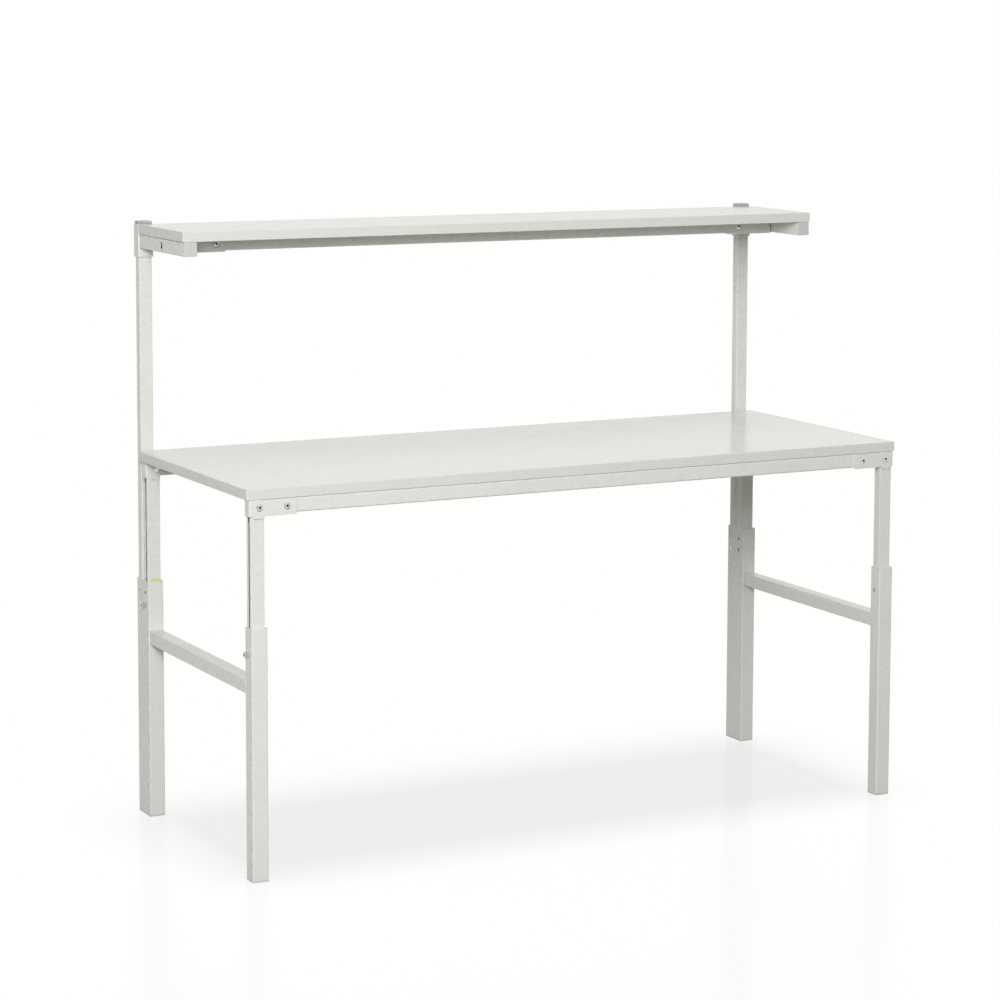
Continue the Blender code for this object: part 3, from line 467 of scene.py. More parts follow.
def sheet_of(name, grid):
    """A mesh over a grid of points (rows, points in a row, 3), with a quad in each cell."""
    rows, count = grid.shape[:2]
    index = np.arange(rows * count).reshape(rows, count)
    quads = np.stack([index[:-1, :-1], index[:-1, 1:], index[1:, 1:], index[1:, :-1]], axis=-1)
    mesh = bpy.data.meshes.new(name)
    mesh.from_pydata(grid.reshape(-1, 3).tolist(), [], quads.reshape(-1, 4).tolist())
    return mesh


stop_plastic = fine_moulding("black_nylon", "#0b0b0c", "#121213", roughness=0.6)
band_film, tree, shader, place = new_finish("yellow_vinyl_film", "#ddd590", roughness=0.4)
band_tone = mottled(tree, place, "#d7cf86", "#e1da98", size=0.004)
tree.links.new(band_tone, shader.inputs["Base Color"])

for hand, side in SIDES.items():
    for end in ENDS:
        node = f"upper_leg_{end}_{hand}"
        low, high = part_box(node)
        (x, y, _), (width, depth, _) = box_of(node)
        outline, inside = slotted_outline(side, width, depth)
        mesh = skin(f"{node}_steel", lofted([outline] * 2, [low.z, high.z], "Z", (x, y, 0)))
        # The faces inside the section take the darker coat, painted shade seen through the slot.
        walls = np.append(inside, [False, False]).astype(np.int32)
        mesh.polygons.foreach_set("material_index", walls)
        leg = even_shading(piece_of(f"{node}_steel", mesh, coat, "lifting_top", [node]))
        mesh.materials.append(inside_painted_shade_coat)
        face = high.x if side > 0 else low.x
        spot = (face - side * STOP_SETBACK, y, STOP_TOP - STOP_HEIGHT / 2)
        stations = rounded_ends(-STOP_HALF, STOP_HALF, STOP_ROUND)
        name, width = f"slot_stop_{end}_{hand}", LEG_SLOT - STOP_PLAY
        mesh = stepped_block(name, spot, "X", stations, STOP_CORNER, width, STOP_HEIGHT)
        stop = piece_of(name, mesh, stop_plastic, "lifting_top")
        even_shading(stop)

low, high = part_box("upper_leg_rear_left")
band_x = np.linspace(low.x + BAND_SETBACK, high.x - LEG_CORNER, BAND_POINTS)
band_z = np.linspace(BAND_TOP - BAND_DROP, BAND_TOP, BAND_POINTS)
grid_x, grid_z = np.meshgrid(band_x, band_z)
grid = np.stack([grid_x, np.full_like(grid_x, low.y - BAND_FILM / 2), grid_z], axis=-1)
band = piece_of("draw_out_band", sheet_of("draw_out_band", grid), band_film, "lifting_top")
film = band.modifiers.new("Film", "SOLIDIFY")
film.thickness = BAND_FILM
film.offset = 0

# Clamp screws: cap screws with a knurled head over a plain washer, zinc plated. Each one
# goes through the tube and the slot into a steel nut block inside the leg, and locks it.

CLAMP_SHANK = 0.004
CLAMP_REACH = 0.018
CLAMP_HEAD = 0.0069
WASHER_THICK = 0.0016
WASHER_PROFILE = [(0.0087, 0), (0.009, 0.0003), (0.009, 0.0013), (0.0087, 0.0016)]
UNDER_WASHER = 0.0001
KNURLS = 36
KNURL_DEPTH = 0.0003
KNURLED_STEPS = 144
HEAD_EDGE = 0.0003
SOCKET_RINGS = 4
SOCKET_MOUTH_SHARE = 1.12
SOCKET_CHAMFER = 0.0004
DRILL_SHARE = 0.7
DRILL_RIM = 0.0003
DRILL_DEPTH = 0.0012
DRILL_TIP = 0.00005
FASTENER_SHARP_ANGLE = 24


def plated(name, low, high, roughness):
    """Bright zinc on turned steel: a pale mirror, softened by fine turning marks."""
    material, tree, shader, place = new_finish(name, high, roughness, metallic=1.0)
    tree.links.new(mottled(tree, place, low, high, size=0.004), shader.inputs["Base Color"])
    varied_roughness(tree, shader, place, size=0.003, low=roughness - 0.04, high=roughness + 0.06)
    dimpled(tree, shader, place, size=0.0006, depth=0.000012)
    return material


zinc = plated("bright_zinc_plate", "#cccdcd", "#d9dad9", roughness=0.13)
# The socket's faces take a near-black zinc: painted shade for the shadow in the recess.
socket_painted_shade = plated("zinc_with_painted_shade_in_socket", "#2c2d2e", "#3a3b3c", roughness=0.4)


def turned(name, stations, centre, axis, way, steps=48):
    """A turned body about an axis. A station is (radius, height, hexagon share, knurl depth).
    At each angle the radius is a mix of the circle and of a hexagon of the same reach,
    r * cos(pi / 6) / cos(angle from its flat's middle), less the knurl's even waves. The
    faces of its socket, but not the chamfer at its mouth, take the second material."""
    radius, height, share, knurl = np.array(stations, float).T
    angle = np.arange(steps) * 2 * np.pi / steps
    flat = np.mod(angle, np.pi / 3) - np.pi / 6
    hexagon = np.cos(np.pi / 6) / np.cos(flat)
    wave = 0.5 - 0.5 * np.cos(KNURLS * angle)
    reach = radius[:, None] * (1 + share[:, None] * (hexagon - 1)) - knurl[:, None] * wave
    rings = np.stack([reach * np.cos(angle), reach * np.sin(angle)], axis=-1)
    mesh = skin(name, lofted(rings, way * height, axis, centre))
    row = np.arange(len(mesh.polygons)) // steps
    in_socket = row >= len(stations) - SOCKET_RINGS
    in_socket[-2] = False
    mesh.polygons.foreach_set("material_index", in_socket.astype(np.int32))
    return mesh


def fastener(name, mesh, body, node):
    """A zinc-plated screw or bolt in the place of its node, with painted shade inside its socket.
    """
    piece = piece_of(name, mesh, zinc, body, [node], FASTENER_SHARP_ANGLE)
    mesh.materials.append(socket_painted_shade)


def plain(points):
    """Stations (radius, height) with neither a hexagon nor a knurl."""
    return [(radius, height, 0, 0) for radius, height in points]


def socket(radius, top, depth):
    """A hexagon socket's stations: its chamfered mouth, its wall and its drilled floor."""
    floor = top - depth
    wall = [(radius, top - SOCKET_CHAMFER, 1, 0), (radius, floor, 1, 0)]
    cone = [(radius * DRILL_SHARE, floor - DRILL_RIM), (DRILL_TIP, floor - DRILL_DEPTH)]
    return plain([(radius * SOCKET_MOUTH_SHARE, top)]) + wall + plain(cone)


for hand, side in SIDES.items():
    for end in ENDS:
        node = f"clamp_screw_{end}_{hand}"
        low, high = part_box(node)
        _, y, z = box_of(node)[0]
        tip = high.x if side > 0 else low.x
        tube_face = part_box(f"lower_{'tube' if end == 'front' else 'sleeve'}_{end}_{hand}")
        base = (tube_face[1].x if side > 0 else tube_face[0].x) + side * UNDER_WASHER
        top, head = abs(tip - base), CLAMP_HEAD
        foot = [(head - HEAD_EDGE, WASHER_THICK), (head, WASHER_THICK + 0.0004)]
        crown = [(head, top - 0.0009), (head - 0.0006, top - 0.0002), (head - 0.0011, top)]
        stations = plain([(CLAMP_SHANK, -CLAMP_REACH), (CLAMP_SHANK, 0), *WASHER_PROFILE, *foot])
        stations += [(head, WASHER_THICK + 0.0009, 0, KNURL_DEPTH)]
        stations += [(head, top - 0.0012, 0, KNURL_DEPTH)]
        stations += plain(crown) + socket(0.0038, top, depth=0.005)
        mesh = turned(f"{node}_turned", stations, (base, y, z), "X", side, KNURLED_STEPS)
        fastener(f"{node}_turned", mesh, "side_frames", node)
        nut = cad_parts[f"clamp_nut_{end}_{hand}"]
        nut.data.materials.clear()
        nut.data.materials.append(zinc)

# Rails: rectangular tube under the front and the rear edge of the board, cut to fit between
# the legs and bolted to them through the corner brackets.

RAIL_WALL = 0.002
RAIL_CORNER = 0.004
for end in ENDS:
    node = f"rail_{end}"
    mesh = tube_between(f"{node}_steel", *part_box(node), "X", RAIL_WALL, RAIL_CORNER)
    rail = even_shading(piece_of(f"{node}_steel", mesh, coat, "lifting_top", [node]))

# Corner brackets: one blank of 2.7 mm sheet, pressed round the top of a leg. The long wall
# covers the end of the rail, the short one comes back inside the leg, and both have a tongue
# with round corners that runs a little further down over the leg.

SHEET = 0.0027
BEND = 0.0042
TONGUE_SHARE = 0.0055
TONGUE_ROUND = 0.0048
END_ROUND = 0.003
TONGUE_WIDTH = 0.030
UNDER_BOARD = 0.0002
EDGE_BREAK = 0.0004
EDGE_BREAK_ANGLE = 50
LONG_WALL_POINTS = 130
SHORT_WALL_POINTS = 50
SIDE_POINTS = 10
SHEET_ROWS = 7


def bracket_path(reach, back, half_width, half_depth):
    """The sheet's middle line seen from above, from the long wall's end round the leg to the
    short wall's end. Straight runs, with a quarter circle of the bend's radius between them."""
    turn = np.linspace(0, np.pi / 2, 9)
    wall = half_width - BEND
    first = [[-wall - BEND * np.sin(a), -half_depth + BEND * (1 - np.cos(a))] for a in turn]
    second = [[-wall - BEND * np.cos(a), half_depth - BEND * (1 - np.sin(a))] for a in turn]
    front = np.linspace([reach, -half_depth], [-wall, -half_depth], LONG_WALL_POINTS)[:-1]
    side_run = np.linspace(first[-1], second[0], SIDE_POINTS)[1:-1]
    rear = np.linspace([-wall, half_depth], [back, half_depth], SHORT_WALL_POINTS)[1:]
    return np.concatenate([front, first, side_run, second, rear])


def tongue_drop(u, low, high):
    """How far the sheet's lower edge drops at u: nothing outside the tongue, its full depth
    inside, and a quarter circle at each end."""
    inside = np.minimum(u - low, high - u)
    near = np.clip(inside, 0, TONGUE_ROUND)
    circle = TONGUE_ROUND - np.sqrt(TONGUE_ROUND**2 - (TONGUE_ROUND - near) ** 2)
    return np.where(inside > 0, TONGUE_SHARE - circle, 0)


for hand, side in SIDES.items():
    for end, way in ENDS.items():
        node = f"corner_bracket_{end}_{hand}"
        low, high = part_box(node)
        (leg_x, leg_y, _), (leg_width, _, _) = box_of(f"upper_leg_{end}_{hand}")
        outer = (high.x - leg_x) if side > 0 else (leg_x - low.x)
        reach = (leg_x - low.x) if side > 0 else (high.x - leg_x)
        half_leg = leg_width / 2
        half_depth = (high.y - low.y) / 2 - SHEET / 2
        path = bracket_path(reach, half_leg, outer - SHEET / 2, half_depth)
        flat = np.abs(np.abs(path[:, 1]) - half_depth) < 1e-6
        tongue = tongue_drop(path[:, 0], half_leg - TONGUE_WIDTH, half_leg)
        drop = np.where(flat, tongue, 0)
        end_gap = np.clip(reach - path[:, 0], 0, END_ROUND)
        lift = END_ROUND - np.sqrt(END_ROUND**2 - (END_ROUND - end_gap) ** 2)
        foot = low.z + TONGUE_SHARE - drop + np.where(path[:, 1] < 0, lift, 0)
        rise = np.linspace(0, 1, SHEET_ROWS)[:, None]
        grid = np.empty((SHEET_ROWS, len(path), 3))
        grid[..., 0] = leg_x - side * path[:, 0]
        grid[..., 1] = leg_y - way * path[:, 1]
        grid[..., 2] = foot + (high.z - UNDER_BOARD - foot) * rise
        mesh = sheet_of(f"{node}_pressing", grid)
        bracket = piece_of(f"{node}_pressing", mesh, coat, "lifting_top", [node])
        sheet = bracket.modifiers.new("Sheet", "SOLIDIFY")
        sheet.thickness = SHEET
        sheet.offset = 0
        rim = bracket.modifiers.new("Rim", "BEVEL")
        rim.width = EDGE_BREAK
        rim.segments = 2
        rim.limit_method = "ANGLE"
        rim.angle_limit = math.radians(EDGE_BREAK_ANGLE)
        even_shading(bracket)

# Bolts: M8 button heads with a collar and a hexagon socket, zinc plated. The one through a
# leg takes a nut on the inside, and the one into a rail ends in a threaded insert.

HEAD_RADIUS = 0.007
HEAD_HEIGHT = 0.0044
COLLAR_RADIUS = 0.00875
COLLAR_HEIGHT = 0.001
COLLAR_FOOT = 0.0002
CROWN_SHARE = 0.42
THREAD = 0.004
THREAD_DEPTH = 0.0006
PITCH = 0.00125
NUT_REACH = 0.0075
NUT_FACE_SHARE = 0.87
NUT_CHAMFER = 0.0007
NUT_FROM_END = 0.0025
NUT_HEIGHT = 0.0065


def button_head():
    """The flanged head from its underside: a thin collar, then a dome whose radius is
    r0 + (r1 - r0) * sin and whose height goes with cos."""
    turn = np.linspace(np.pi / 2, 0.0, 9)
    crown, foot = HEAD_RADIUS * CROWN_SHARE, COLLAR_HEIGHT - 0.0001
    radius = crown + (HEAD_RADIUS - crown) * np.sin(turn)
    height = foot + (HEAD_HEIGHT - foot) * np.cos(turn)
    rim = [(COLLAR_RADIUS - COLLAR_FOOT, 0), (COLLAR_RADIUS, COLLAR_FOOT)]
    rim += [(COLLAR_RADIUS, COLLAR_HEIGHT - HEAD_EDGE)]
    rim += [(COLLAR_RADIUS - HEAD_EDGE, COLLAR_HEIGHT), (HEAD_RADIUS + HEAD_EDGE, COLLAR_HEIGHT)]
    return plain([*rim, *zip(radius, height)]) + socket(0.0029, HEAD_HEIGHT, depth=0.0028)


def threaded(bottom, top):
    """Thread crests and roots, half a pitch apart, between two heights."""
    heights = np.arange(bottom, top, PITCH / 2)
    deep = np.arange(len(heights)) % 2 * THREAD_DEPTH
    return plain(zip(THREAD - deep, heights))


def hexagon_nut(bottom, top):
    """A nut's stations with its two chamfered ends, on the outside of the thread."""
    face = NUT_REACH * NUT_FACE_SHARE
    flats = [(NUT_REACH, bottom + NUT_CHAMFER, 1, 0), (NUT_REACH, top - NUT_CHAMFER, 1, 0)]
    return plain([(THREAD, bottom), (face, bottom)]) + flats + plain([(face, top), (THREAD, top)])


def bolt_at(node, axis, way, body):
    """A button-head bolt in the place of its CAD node. Heights run from the head's underside
    outwards, and the shank's end is chamfered."""
    low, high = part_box(node)
    third = AXES[axis][2]
    centre, size = box_of(node)
    centre[third] = (high if way > 0 else low)[third] - way * HEAD_HEIGHT
    end = HEAD_HEIGHT - size[third]
    stations = plain([(THREAD - 0.001, end)])
    if node.startswith("leg_bolt"):
        nut = end + NUT_FROM_END
        stations += threaded(end + 0.0008, nut) + hexagon_nut(nut, nut + NUT_HEIGHT)
    stations += plain([(THREAD, -0.0005)]) + button_head()
    mesh = turned(f"{node}_turned", stations, centre, axis, way)
    fastener(f"{node}_turned", mesh, body, node)


for hand in SIDES:
    for end, way in ENDS.items():
        bolt_at(f"leg_bolt_{end}_{hand}", "Y", way, "lifting_top")
        bolt_at(f"rail_bolt_{end}_{hand}", "Y", way, "lifting_top")

# Worktop and shelf board: chipboard faced with pale grey laminate on both sides. A 2 mm
# plastic band is glued round the edges and milled round, and its joint is just visible.

BAND = 0.002
BAND_ROUND = 0.0015
BAND_CORNER = 0.003
BAND_INNER_CORNER = 0.001
BAND_JOINT = 0.00005
CORE_BELOW = 0.00006
CORE_ABOVE = 0.00004
CORE_EDGE = 0.0008


def laminate(name, low, high, roughness):
    """High-pressure laminate: even colour and a soft sheen that is a little duller in
    patches of about 50 mm, where the press plate was worn. The surface is dead flat."""
    material, tree, shader, place = new_finish(name, high, roughness)
    tree.links.new(mottled(tree, place, low, high, size=0.25), shader.inputs["Base Color"])
    varied_roughness(tree, shader, place, size=0.05, low=roughness - 0.03, high=roughness + 0.04)
    return material


board_face = laminate("grey_laminate", "#e3e3dd", "#e6e6e1", roughness=0.2)
board_back = laminate("backing_laminate", "#d9d9d3", "#deded8", roughness=0.45)
edge_band = fine_moulding("abs_edge_band", "#d9d9d2", "#dddcd7", roughness=0.42)


def board_at(node, body):
    """The board in two pieces: its faced core, and the ring of edge band round it. The band's
    outer rings follow a quarter circle at each edge."""
    centre, (width, depth, thick) = box_of(node)
    inner = BAND + BAND_JOINT
    half = thick / 2
    ring = rounded_ring(width - 2 * inner, depth - 2 * inner, BAND_INNER_CORNER)
    along = [CORE_BELOW - half, CORE_EDGE - half, half - CORE_EDGE, half - CORE_ABOVE]
    mesh = skin(f"{node}_core", lofted([ring] * 4, along, "Z", centre))
    core = piece_of(f"{node}_core", mesh, board_face, body, [node])
    mesh.materials.append(board_back)
    under = np.array([p.normal.z < -0.5 for p in mesh.polygons])
    mesh.polygons.foreach_set("material_index", under.astype(np.int32))
    stations = [*rounded_ends(-half, half, BAND_ROUND), (BAND, half), (BAND, -half)]
    rings = [
        rounded_ring(width - 2 * i, depth - 2 * i, max(BAND_CORNER - i, BAND_INNER_CORNER))
        for i, _ in stations
    ]
    points = lofted(rings, [h for _, h in stations], "Z", centre)
    mesh = skin(f"{node}_band", points, closed=True)
    ring_piece = even_shading(piece_of(f"{node}_band", mesh, edge_band, body))


board_at("worktop", "lifting_top")
board_at("shelf_board", "sliding_shelf")

# Posts: rectangular tube that stands in the back half of each sleeve, held by a low screw
# from the inside. A moulded cap with a crowned top closes the upper end.

POST_WALL = 0.002
POST_CORNER = 0.0025
POST_SHANK = 0.0029
POST_HEAD_HEIGHT = 0.0016
POST_HEAD_PROFILE = [(0.005, 0), (0.0049, 0.0006), (0.0044, 0.0011), (0.0034, 0.0015)]
POST_HEAD_PROFILE += [(0.0026, 0.0016)]
CAP_CORNER = 0.004
CAP_RIM = 0.007
CAP_ROUND = 0.0014
CAP_EDGE = 0.0003
CAP_PLUG_PROFILE = [(0.004, 0), (0.0032, 0.002)]
CAP_PLUG_INSET = 0.0036
CROWN_RISE = 0.0008
CROWN_PROFILE = [(0.0045, 0.0005), (0.0080, 0.0007), (0.0115, 0.0008)]

cap_plastic = fine_moulding("cool_grey_polyamide", "#c5c5c3", "#cacac8", roughness=0.5)
post_cap_plastic = fine_moulding("mid_grey_polyamide", "#a3a4a3", "#aaabaa", roughness=0.45)

for hand, side in SIDES.items():
    node = f"post_{hand}"
    low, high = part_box(node)
    mesh = tube_between(f"{node}_steel", low, high, "Z", POST_WALL, POST_CORNER)
    post = piece_of(f"{node}_steel", mesh, coat, "side_frames", [node])
    inner = low.x if side > 0 else high.x
    spot = (inner, box_of(node)[0][1], CLAMP_LEVEL)
    cut(post, [(round_hole(POST_SCREW_HOLE), "X", spot, CUT_ONE_WALL)])
    even_shading(post)
    node = f"post_screw_{hand}"
    low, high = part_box(node)
    head = POST_HEAD_HEIGHT
    shank = [(POST_SHANK, head - (high.x - low.x)), (POST_SHANK, 0)]
    stations = plain([*shank, *POST_HEAD_PROFILE]) + socket(0.0017, head, depth=0.001)
    spot = (low.x + head if side > 0 else high.x - head, box_of(node)[0][1], CLAMP_LEVEL)
    mesh = turned(f"{node}_turned", stations, spot, "X", -side)
    fastener(f"{node}_turned", mesh, "side_frames", node)
    node = f"post_cap_{hand}"
    low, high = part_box(node)
    (x, y, _), (width, depth, _) = box_of(node)
    rim, crown = high.z - CAP_RIM, high.z - CROWN_RISE
    stations = [(i, low.z + h) for i, h in CAP_PLUG_PROFILE]
    stations += [(CAP_PLUG_INSET, rim), (CAP_EDGE, rim), (0, rim + CAP_EDGE)]
    stations += [(i, crown - h) for i, h in rounded_edge(CAP_ROUND)[::-1]]
    stations += [(i, crown + h) for i, h in CROWN_PROFILE]
    name = f"{node}_moulding"
    mesh = stepped_block(name, (x, y, 0), "Z", stations, CAP_CORNER, width, depth)
    cap = even_shading(piece_of(name, mesh, post_cap_plastic, "side_frames", [node]))

# Shelf supports: a collar that slides on the post, with a tube arm welded to its front. The
# arm has a keyhole on its outer side and a plastic cap in its end, and a set screw in the
# collar bears on the post.

COLLAR_DEPTH = 0.033
COLLAR_WALL = 0.0022
COLLAR_CORNER = 0.003
SET_SCREW_HOLE = 0.0056
SET_SCREW_CUT = 0.016
ARM_WIDTH = 0.033
ARM_HEIGHT = 0.035
ARM_WALL = 0.002
ARM_CORNER = 0.0025
ARM_CAP_ROUND = 0.0012
ARM_UNDER_BOARD = 0.0003
SET_SCREW_TIP = [(0.0018, 0), (0.0024, 0.0006)]
SET_SCREW_RIM = [(0.0025, -0.0003), (0.0022, 0)]
KEYHOLE_SETBACK = 0.150
KEYHOLE_CUT = 0.01
KEY_ROUND = 0.010
KEY_ROUND_DROP = 0.004
KEY_SLIT = (0.006, 0.012, 0.0029)
KEY_SLIT_RISE = 0.003

for hand, side in SIDES.items():
    node = f"shelf_support_{hand}"
    low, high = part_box(node)
    front = high.y - COLLAR_DEPTH
    name, corner = f"collar_{hand}_steel", (low.x, front, low.z)
    mesh = tube_between(name, corner, high, "Z", COLLAR_WALL, COLLAR_CORNER)
    collar = piece_of(name, mesh, coat, "sliding_shelf", [node])
    (_, screw_y, screw_z), (length, _, _) = box_of(f"collar_screw_{hand}")
    screw_spot = (high.x if side > 0 else low.x, screw_y, screw_z)
    cut(collar, [(round_hole(SET_SCREW_HOLE), "X", screw_spot, SET_SCREW_CUT)])
    even_shading(collar)
    x = box_of(node)[0][0]
    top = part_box("shelf_board")[0].z - ARM_UNDER_BOARD
    arm_low = (x - ARM_WIDTH / 2, low.y, top - ARM_HEIGHT)
    arm_high = (x + ARM_WIDTH / 2, front, top)
    mesh = tube_between(f"arm_{hand}_steel", arm_low, arm_high, "Y", ARM_WALL, ARM_CORNER)
    arm = piece_of(f"arm_{hand}_steel", mesh, coat, "sliding_shelf")
    keyhole_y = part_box("shelf_board")[0].y + KEYHOLE_SETBACK
    z = top - ARM_HEIGHT / 2
    face = x + side * ARM_WIDTH / 2
    high_z, low_z = z + KEY_SLIT_RISE, z - KEY_ROUND_DROP
    cuts = [(round_hole(KEY_ROUND), "X", (face, keyhole_y, low_z), KEYHOLE_CUT)]
    cuts += [(rounded_ring(*KEY_SLIT), "X", (face, keyhole_y, high_z), KEYHOLE_CUT)]
    even_shading(cut(arm, cuts))
    name, spot = f"arm_weld_{hand}", (x, front, z)
    mesh = weld_bead(name, ARM_WIDTH, ARM_HEIGHT, ARM_CORNER, "Y", spot, -1)
    bead = piece_of(name, mesh, coat, "sliding_shelf", sharp=BEAD_SHARP_ANGLE)
    tip = [(radius, height - length) for radius, height in SET_SCREW_TIP]
    stations = plain(tip + SET_SCREW_RIM) + socket(0.0014, 0, depth=0.0012)
    mesh = turned(f"set_screw_{hand}_turned", stations, screw_spot, "X", side)
    fastener(f"set_screw_{hand}_turned", mesh, "sliding_shelf", f"collar_screw_{hand}")
    node = f"arm_cap_{hand}"
    low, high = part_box(node)
    name, spot = f"{node}_moulding", (x, 0, box_of(node)[0][2])
    stations = plug(low.y, high.y, ARM_CAP_ROUND)
    mesh = stepped_block(name, spot, "Y", stations, ARM_CORNER, ARM_WIDTH, ARM_HEIGHT)
    cap = even_shading(piece_of(name, mesh, cap_plastic, "sliding_shelf", [node]))

# Shelf rail and its saddles: a tube under the board, held at each end in a channel of bent
# sheet with an end wall against the arm, and one bolt through the channel's front. The end
# wall is narrower than the channel, which leaves a dark groove beside the arm.

SADDLE_SHEET = 0.0027
SADDLE_BEND = 0.0025
GROOVE = 0.0026
GROOVE_DEPTH = 0.009
SADDLE_EDGE = 0.0004
SADDLE_END_CORNER = 0.002
SADDLE_END_TRIM = 0.0002
SHELF_RAIL_WALL = 0.002
SHELF_RAIL_CORNER = 0.0022

node = "shelf_rail"
mesh = tube_between(f"{node}_steel", *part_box(node), "X", SHELF_RAIL_WALL, SHELF_RAIL_CORNER)
rail = even_shading(piece_of(f"{node}_steel", mesh, coat, "sliding_shelf", [node]))


def channel_outline(half_depth, top, bottom):
    """The channel's section: down the front, round a bend, along the floor, round a bend and
    up the back on the outside, then the same way back on the inside."""
    turn = np.linspace(0, np.pi / 2, 6)

    def wall(inset):
        """One face of the bent sheet, set in from the outside by the inset."""
        radius = max(SADDLE_BEND - inset, LEAST_ROUND)
        u, v = half_depth - inset - radius, bottom + inset + radius
        near = np.stack([-u - radius * np.cos(turn), v - radius * np.sin(turn)], axis=-1)
        far = np.stack([u + radius * np.sin(turn), v - radius * np.cos(turn)], axis=-1)
        ends = [[[inset - half_depth, top]], near, far, [[half_depth - inset, top]]]
        return np.concatenate(ends)

    return np.concatenate([wall(0.0), wall(SADDLE_SHEET)[::-1]])


for hand, side in SIDES.items():
    node = f"rail_saddle_{hand}"
    low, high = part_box(node)
    (_, y, z), (_, depth, height) = box_of(node)
    outline = channel_outline(depth / 2, high.z, low.z)
    left, right = (low.x, high.x - GROOVE) if side > 0 else (low.x + GROOVE, high.x)
    mesh = skin(f"{node}_pressing", lofted([outline] * 2, [left, right], "X", (0, y, 0)))
    saddle = piece_of(f"{node}_pressing", mesh, coat, "sliding_shelf", [node])
    even_shading(saddle)
    half = SADDLE_SHEET / 2
    spot = (high.x - half if side > 0 else low.x + half, y, z)
    stations = rounded_ends(-half, half, SADDLE_EDGE, 2)
    size = (depth - 2 * GROOVE_DEPTH, height - SADDLE_END_TRIM)
    mesh = stepped_block(f"saddle_end_{hand}", spot, "X", stations, SADDLE_END_CORNER, *size)
    wall = even_shading(piece_of(f"saddle_end_{hand}", mesh, coat, "sliding_shelf"))
    bolt_at(f"saddle_bolt_{hand}", "Y", -1, "sliding_shelf")

# Floor, lamps and camera: a white studio with one large soft lamp at the front left, weaker
# ones round the bench and an even sky. The camera and the mirror-like parts see a white floor
# and sky, with only the soft shadow of an overhead light and faint reflections of the legs.

BOUNCE = "#8c8b85"
SKY_LEVEL = 0.251
SKY_TINT = "#fffcf9"
SHADOW_SHARE = 0.205
FLOOR_GLOSS = 0.08
OVERHEAD_LEVEL = 2.35
OVERHEAD_ANGLE = 0.33
LAMP_COLOUR = (0.96, 0.975, 1.0)
WHITE = (1, 1, 1, 1)
FLOOR_EDGE = 30
CARD_LEFT, CARD_RIGHT = -9, 7
CARD_LOW, CARD_HIGH = 0.2, 4.6
CARD_DISTANCE = -9

world = bpy.data.worlds.new("studio")
world.use_nodes = True
bpy.context.scene.world = world
sky = world.node_tree
background = sky.nodes["Background"]
tint = add_node(
    sky,
    "ShaderNodeMixRGB",
    {"Color1": linear(SKY_TINT), "Color2": WHITE},
    {"Fac": add_node(sky, "ShaderNodeLightPath").outputs["Is Camera Ray"]},
)
sky.links.new(tint.outputs["Color"], background.inputs["Color"])


def white_for(tree):
    """1 for what the camera and the reflecting and clear surfaces see, and 0 for other light."""
    rays = add_node(tree, "ShaderNodeLightPath").outputs
    settings = {"operation": "MAXIMUM"}
    mirror = {0: rays["Is Camera Ray"], 1: rays["Is Glossy Ray"]}
    seen = add_node(tree, "ShaderNodeMath", settings, mirror).outputs[0]
    clear = {0: seen, 1: rays["Is Transmission Ray"]}
    return add_node(tree, "ShaderNodeMath", settings, clear).outputs[0]


strength = add_node(
    sky, "ShaderNodeMapRange", {"To Min": SKY_LEVEL, "To Max": 1.0}, {"Value": white_for(sky)}
)
sky.links.new(strength.outputs["Result"], background.inputs["Strength"])


def flat_piece(name, corners):
    """One four-cornered face as an object of its own."""
    mesh = bpy.data.meshes.new(name)
    mesh.from_pydata(corners, [], [(0, 1, 2, 3)])
    piece = bpy.data.objects.new(name, mesh)
    bpy.context.scene.collection.objects.link(piece)
    return piece


edge = FLOOR_EDGE
corners = [(-edge, -edge, 0), (edge, -edge, 0), (edge, edge, 0), (-edge, edge, 0)]
floor = flat_piece("studio_floor", corners)
floor_paint, floor_tree, floor_shader, _ = new_finish("matt_white_floor", BOUNCE, roughness=1.0)
floor_shader.inputs["Specular IOR Level"].default_value = 0.0
white = add_node(floor_tree, "ShaderNodeEmission", {"Strength": 1.0})
shaded = add_node(floor_tree, "ShaderNodeBsdfDiffuse", {"Color": WHITE})
mirrored = add_node(floor_tree, "ShaderNodeBsdfGlossy", {"Color": WHITE, "Roughness": 0.16})
paper = add_node(
    floor_tree,
    "ShaderNodeMixShader",
    {0: SHADOW_SHARE},
    {1: white.outputs[0], 2: shaded.outputs[0]},
)
seen_floor = add_node(
    floor_tree,
    "ShaderNodeMixShader",
    {0: FLOOR_GLOSS},
    {1: paper.outputs[0], 2: mirrored.outputs[0]},
)
surface = add_node(
    floor_tree,
    "ShaderNodeMixShader",
    None,
    {0: white_for(floor_tree), 1: floor_shader.outputs[0], 2: seen_floor.outputs[0]},
)
out = floor_tree.nodes["Material Output"]
floor_tree.links.new(surface.outputs[0], out.inputs["Surface"])
floor.data.materials.append(floor_paint)

# The card shows in reflections alone, and draws the dark line on the bolts' heads.
corners = [(x, CARD_DISTANCE, CARD_LOW) for x in (CARD_LEFT, CARD_RIGHT)]
corners += [(x, CARD_DISTANCE, CARD_HIGH) for x in (CARD_RIGHT, CARD_LEFT)]
card = flat_piece("dark_card", corners)
card.data.materials.append(new_finish("black_studio_cloth", "#0c0c0c", roughness=1.0)[0])
card.visible_camera = False
card.visible_diffuse = False
card.visible_transmission = False
card.visible_shadow = False


def all_but(name, pieces):
    """A collection that a lamp can take to light everything except these pieces."""
    group = bpy.data.collections.new(name)
    for piece in pieces:
        group.objects.link(piece)
    for member in group.collection_objects:
        member.light_linking.link_state = "EXCLUDE"
    return group


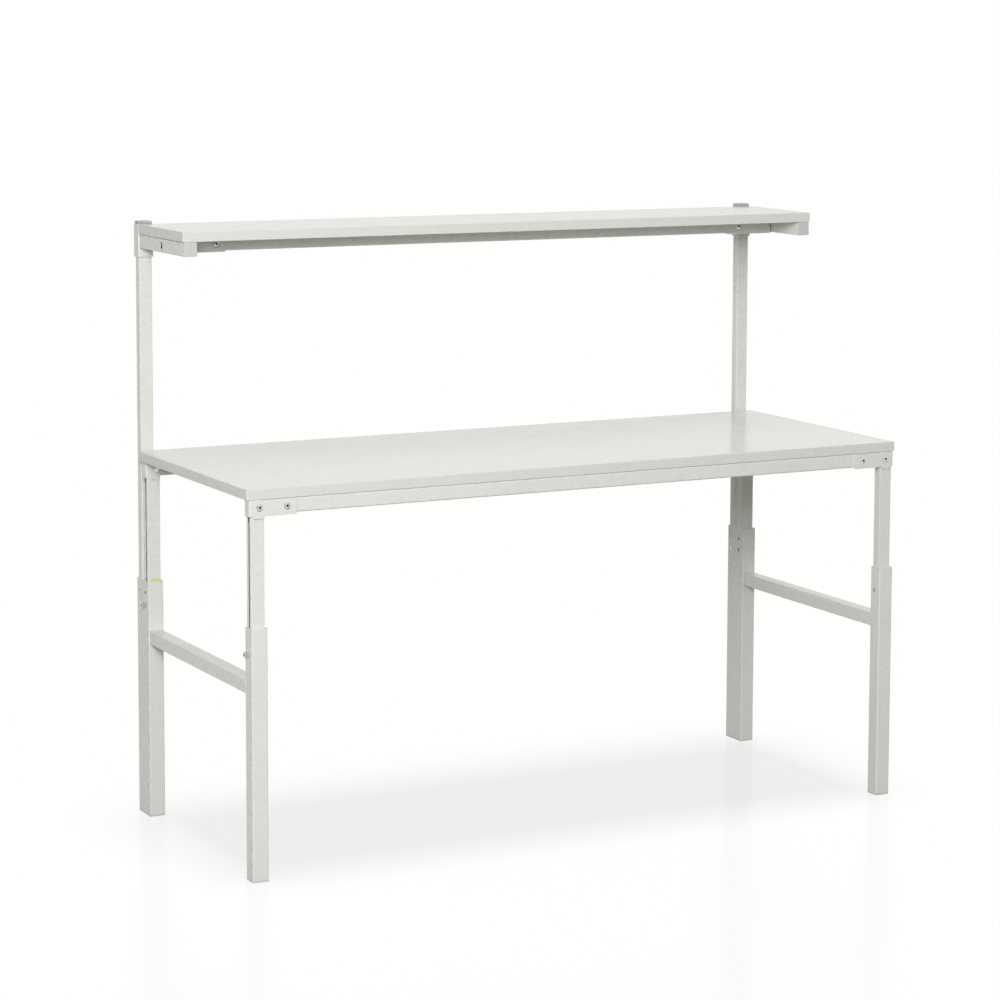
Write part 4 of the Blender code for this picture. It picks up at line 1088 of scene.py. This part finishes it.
floor_only = bpy.data.collections.new("lit_by_the_overhead_light")
floor_only.objects.link(floor)
all_but_floor = all_but("not_lit_by_the_lamps", [floor])
boards = [bpy.data.objects["worktop_core"], bpy.data.objects["shelf_board_core"]]
no_glare = all_but("not_given_highlights", [floor, *boards])


def soft_lamp(name, spot, aim, size, power):
    """A square area lamp at a spot, turned to face its aim."""
    data = bpy.data.lights.new(name, "AREA")
    data.shape = "SQUARE"
    data.size = size
    data.energy = power
    data.color = LAMP_COLOUR
    lamp = bpy.data.objects.new(name, data)
    bpy.context.scene.collection.objects.link(lamp)
    lamp.location = spot
    lamp.light_linking.receiver_collection = all_but_floor
    back = np.array(spot, float) - np.array(aim, float)
    back /= np.linalg.norm(back)
    right = np.cross((0, 0, 1), back)
    right /= np.linalg.norm(right)
    up = np.cross(back, right)
    lamp.rotation_euler = Matrix(np.stack([right, up, back], axis=1).tolist()).to_euler()
    return lamp


key = soft_lamp("key", (-4.8, -7.2, 5.0), aim=(-0.2, 0, 0.8), size=4.5, power=490)
near = soft_lamp("near", (-3.2, -4.4, 2.6), aim=(-0.2, 0, 0.8), size=1.4, power=103)
behind = soft_lamp("behind", (0.4, 5.2, 1.4), aim=(0, 0, 0.5), size=1.6, power=20)
right_rear = soft_lamp("right_rear", (4.2, 1.6, 1.6), aim=(0.2, 0, 0.5), size=1.6, power=110)
soft_lamp("top", (0.0, -0.5, 4.2), aim=(0, 0, 0.8), size=3.0, power=27)
for lamp in (key, near, behind, right_rear):
    lamp.visible_glossy = False

# The two front lamps make their highlights apart from their light, so that the boards take
# none. Seen from behind, a highlight would burn a whole board out.
for lamp in (key, near):
    shine = lamp.copy()
    shine.name = f"{lamp.name}_shine"
    bpy.context.scene.collection.objects.link(shine)
    shine.visible_diffuse = False
    shine.visible_glossy = True
    shine.light_linking.receiver_collection = no_glare

overhead = bpy.data.lights.new("overhead", "SUN")
overhead.energy = OVERHEAD_LEVEL
overhead.angle = OVERHEAD_ANGLE
overhead_lamp = bpy.data.objects.new("overhead", overhead)
bpy.context.scene.collection.objects.link(overhead_lamp)
overhead_lamp.location = (0, 0, 5)
overhead_lamp.light_linking.receiver_collection = floor_only

CAMERA_SPOT = (-3.55389, -6.74682, 2.01160)
YAW, PITCH, ROLL = math.radians(-28.53), math.radians(-6.30), math.radians(0.31)
SENSOR_WIDTH = 36.0
FOCAL_IN_WIDTHS = 3.02981
CAMERA_SHIFT = (-0.06, -0.15)

lens = bpy.data.cameras.new("camera")
lens.sensor_width = SENSOR_WIDTH
lens.lens = SENSOR_WIDTH * FOCAL_IN_WIDTHS
lens.shift_x, lens.shift_y = CAMERA_SHIFT
lens.clip_end = 200.0
camera = bpy.data.objects.new("camera", lens)
bpy.context.scene.collection.objects.link(camera)
level = np.array([math.cos(YAW), math.sin(YAW), 0.0])
ahead = np.array([-math.sin(YAW), math.cos(YAW), 0.0])
forward = ahead * math.cos(PITCH) + np.array([0.0, 0.0, math.sin(PITCH)])
upright = np.cross(level, forward)
right = level * math.cos(ROLL) + upright * math.sin(ROLL)
up = upright * math.cos(ROLL) - level * math.sin(ROLL)
turn = Matrix(np.stack([right, up, -forward], axis=1).tolist()).to_4x4()
camera.matrix_world = Matrix.Translation(CAMERA_SPOT) @ turn
bpy.context.scene.camera = camera
bpy.context.scene.view_settings.view_transform = "Standard"
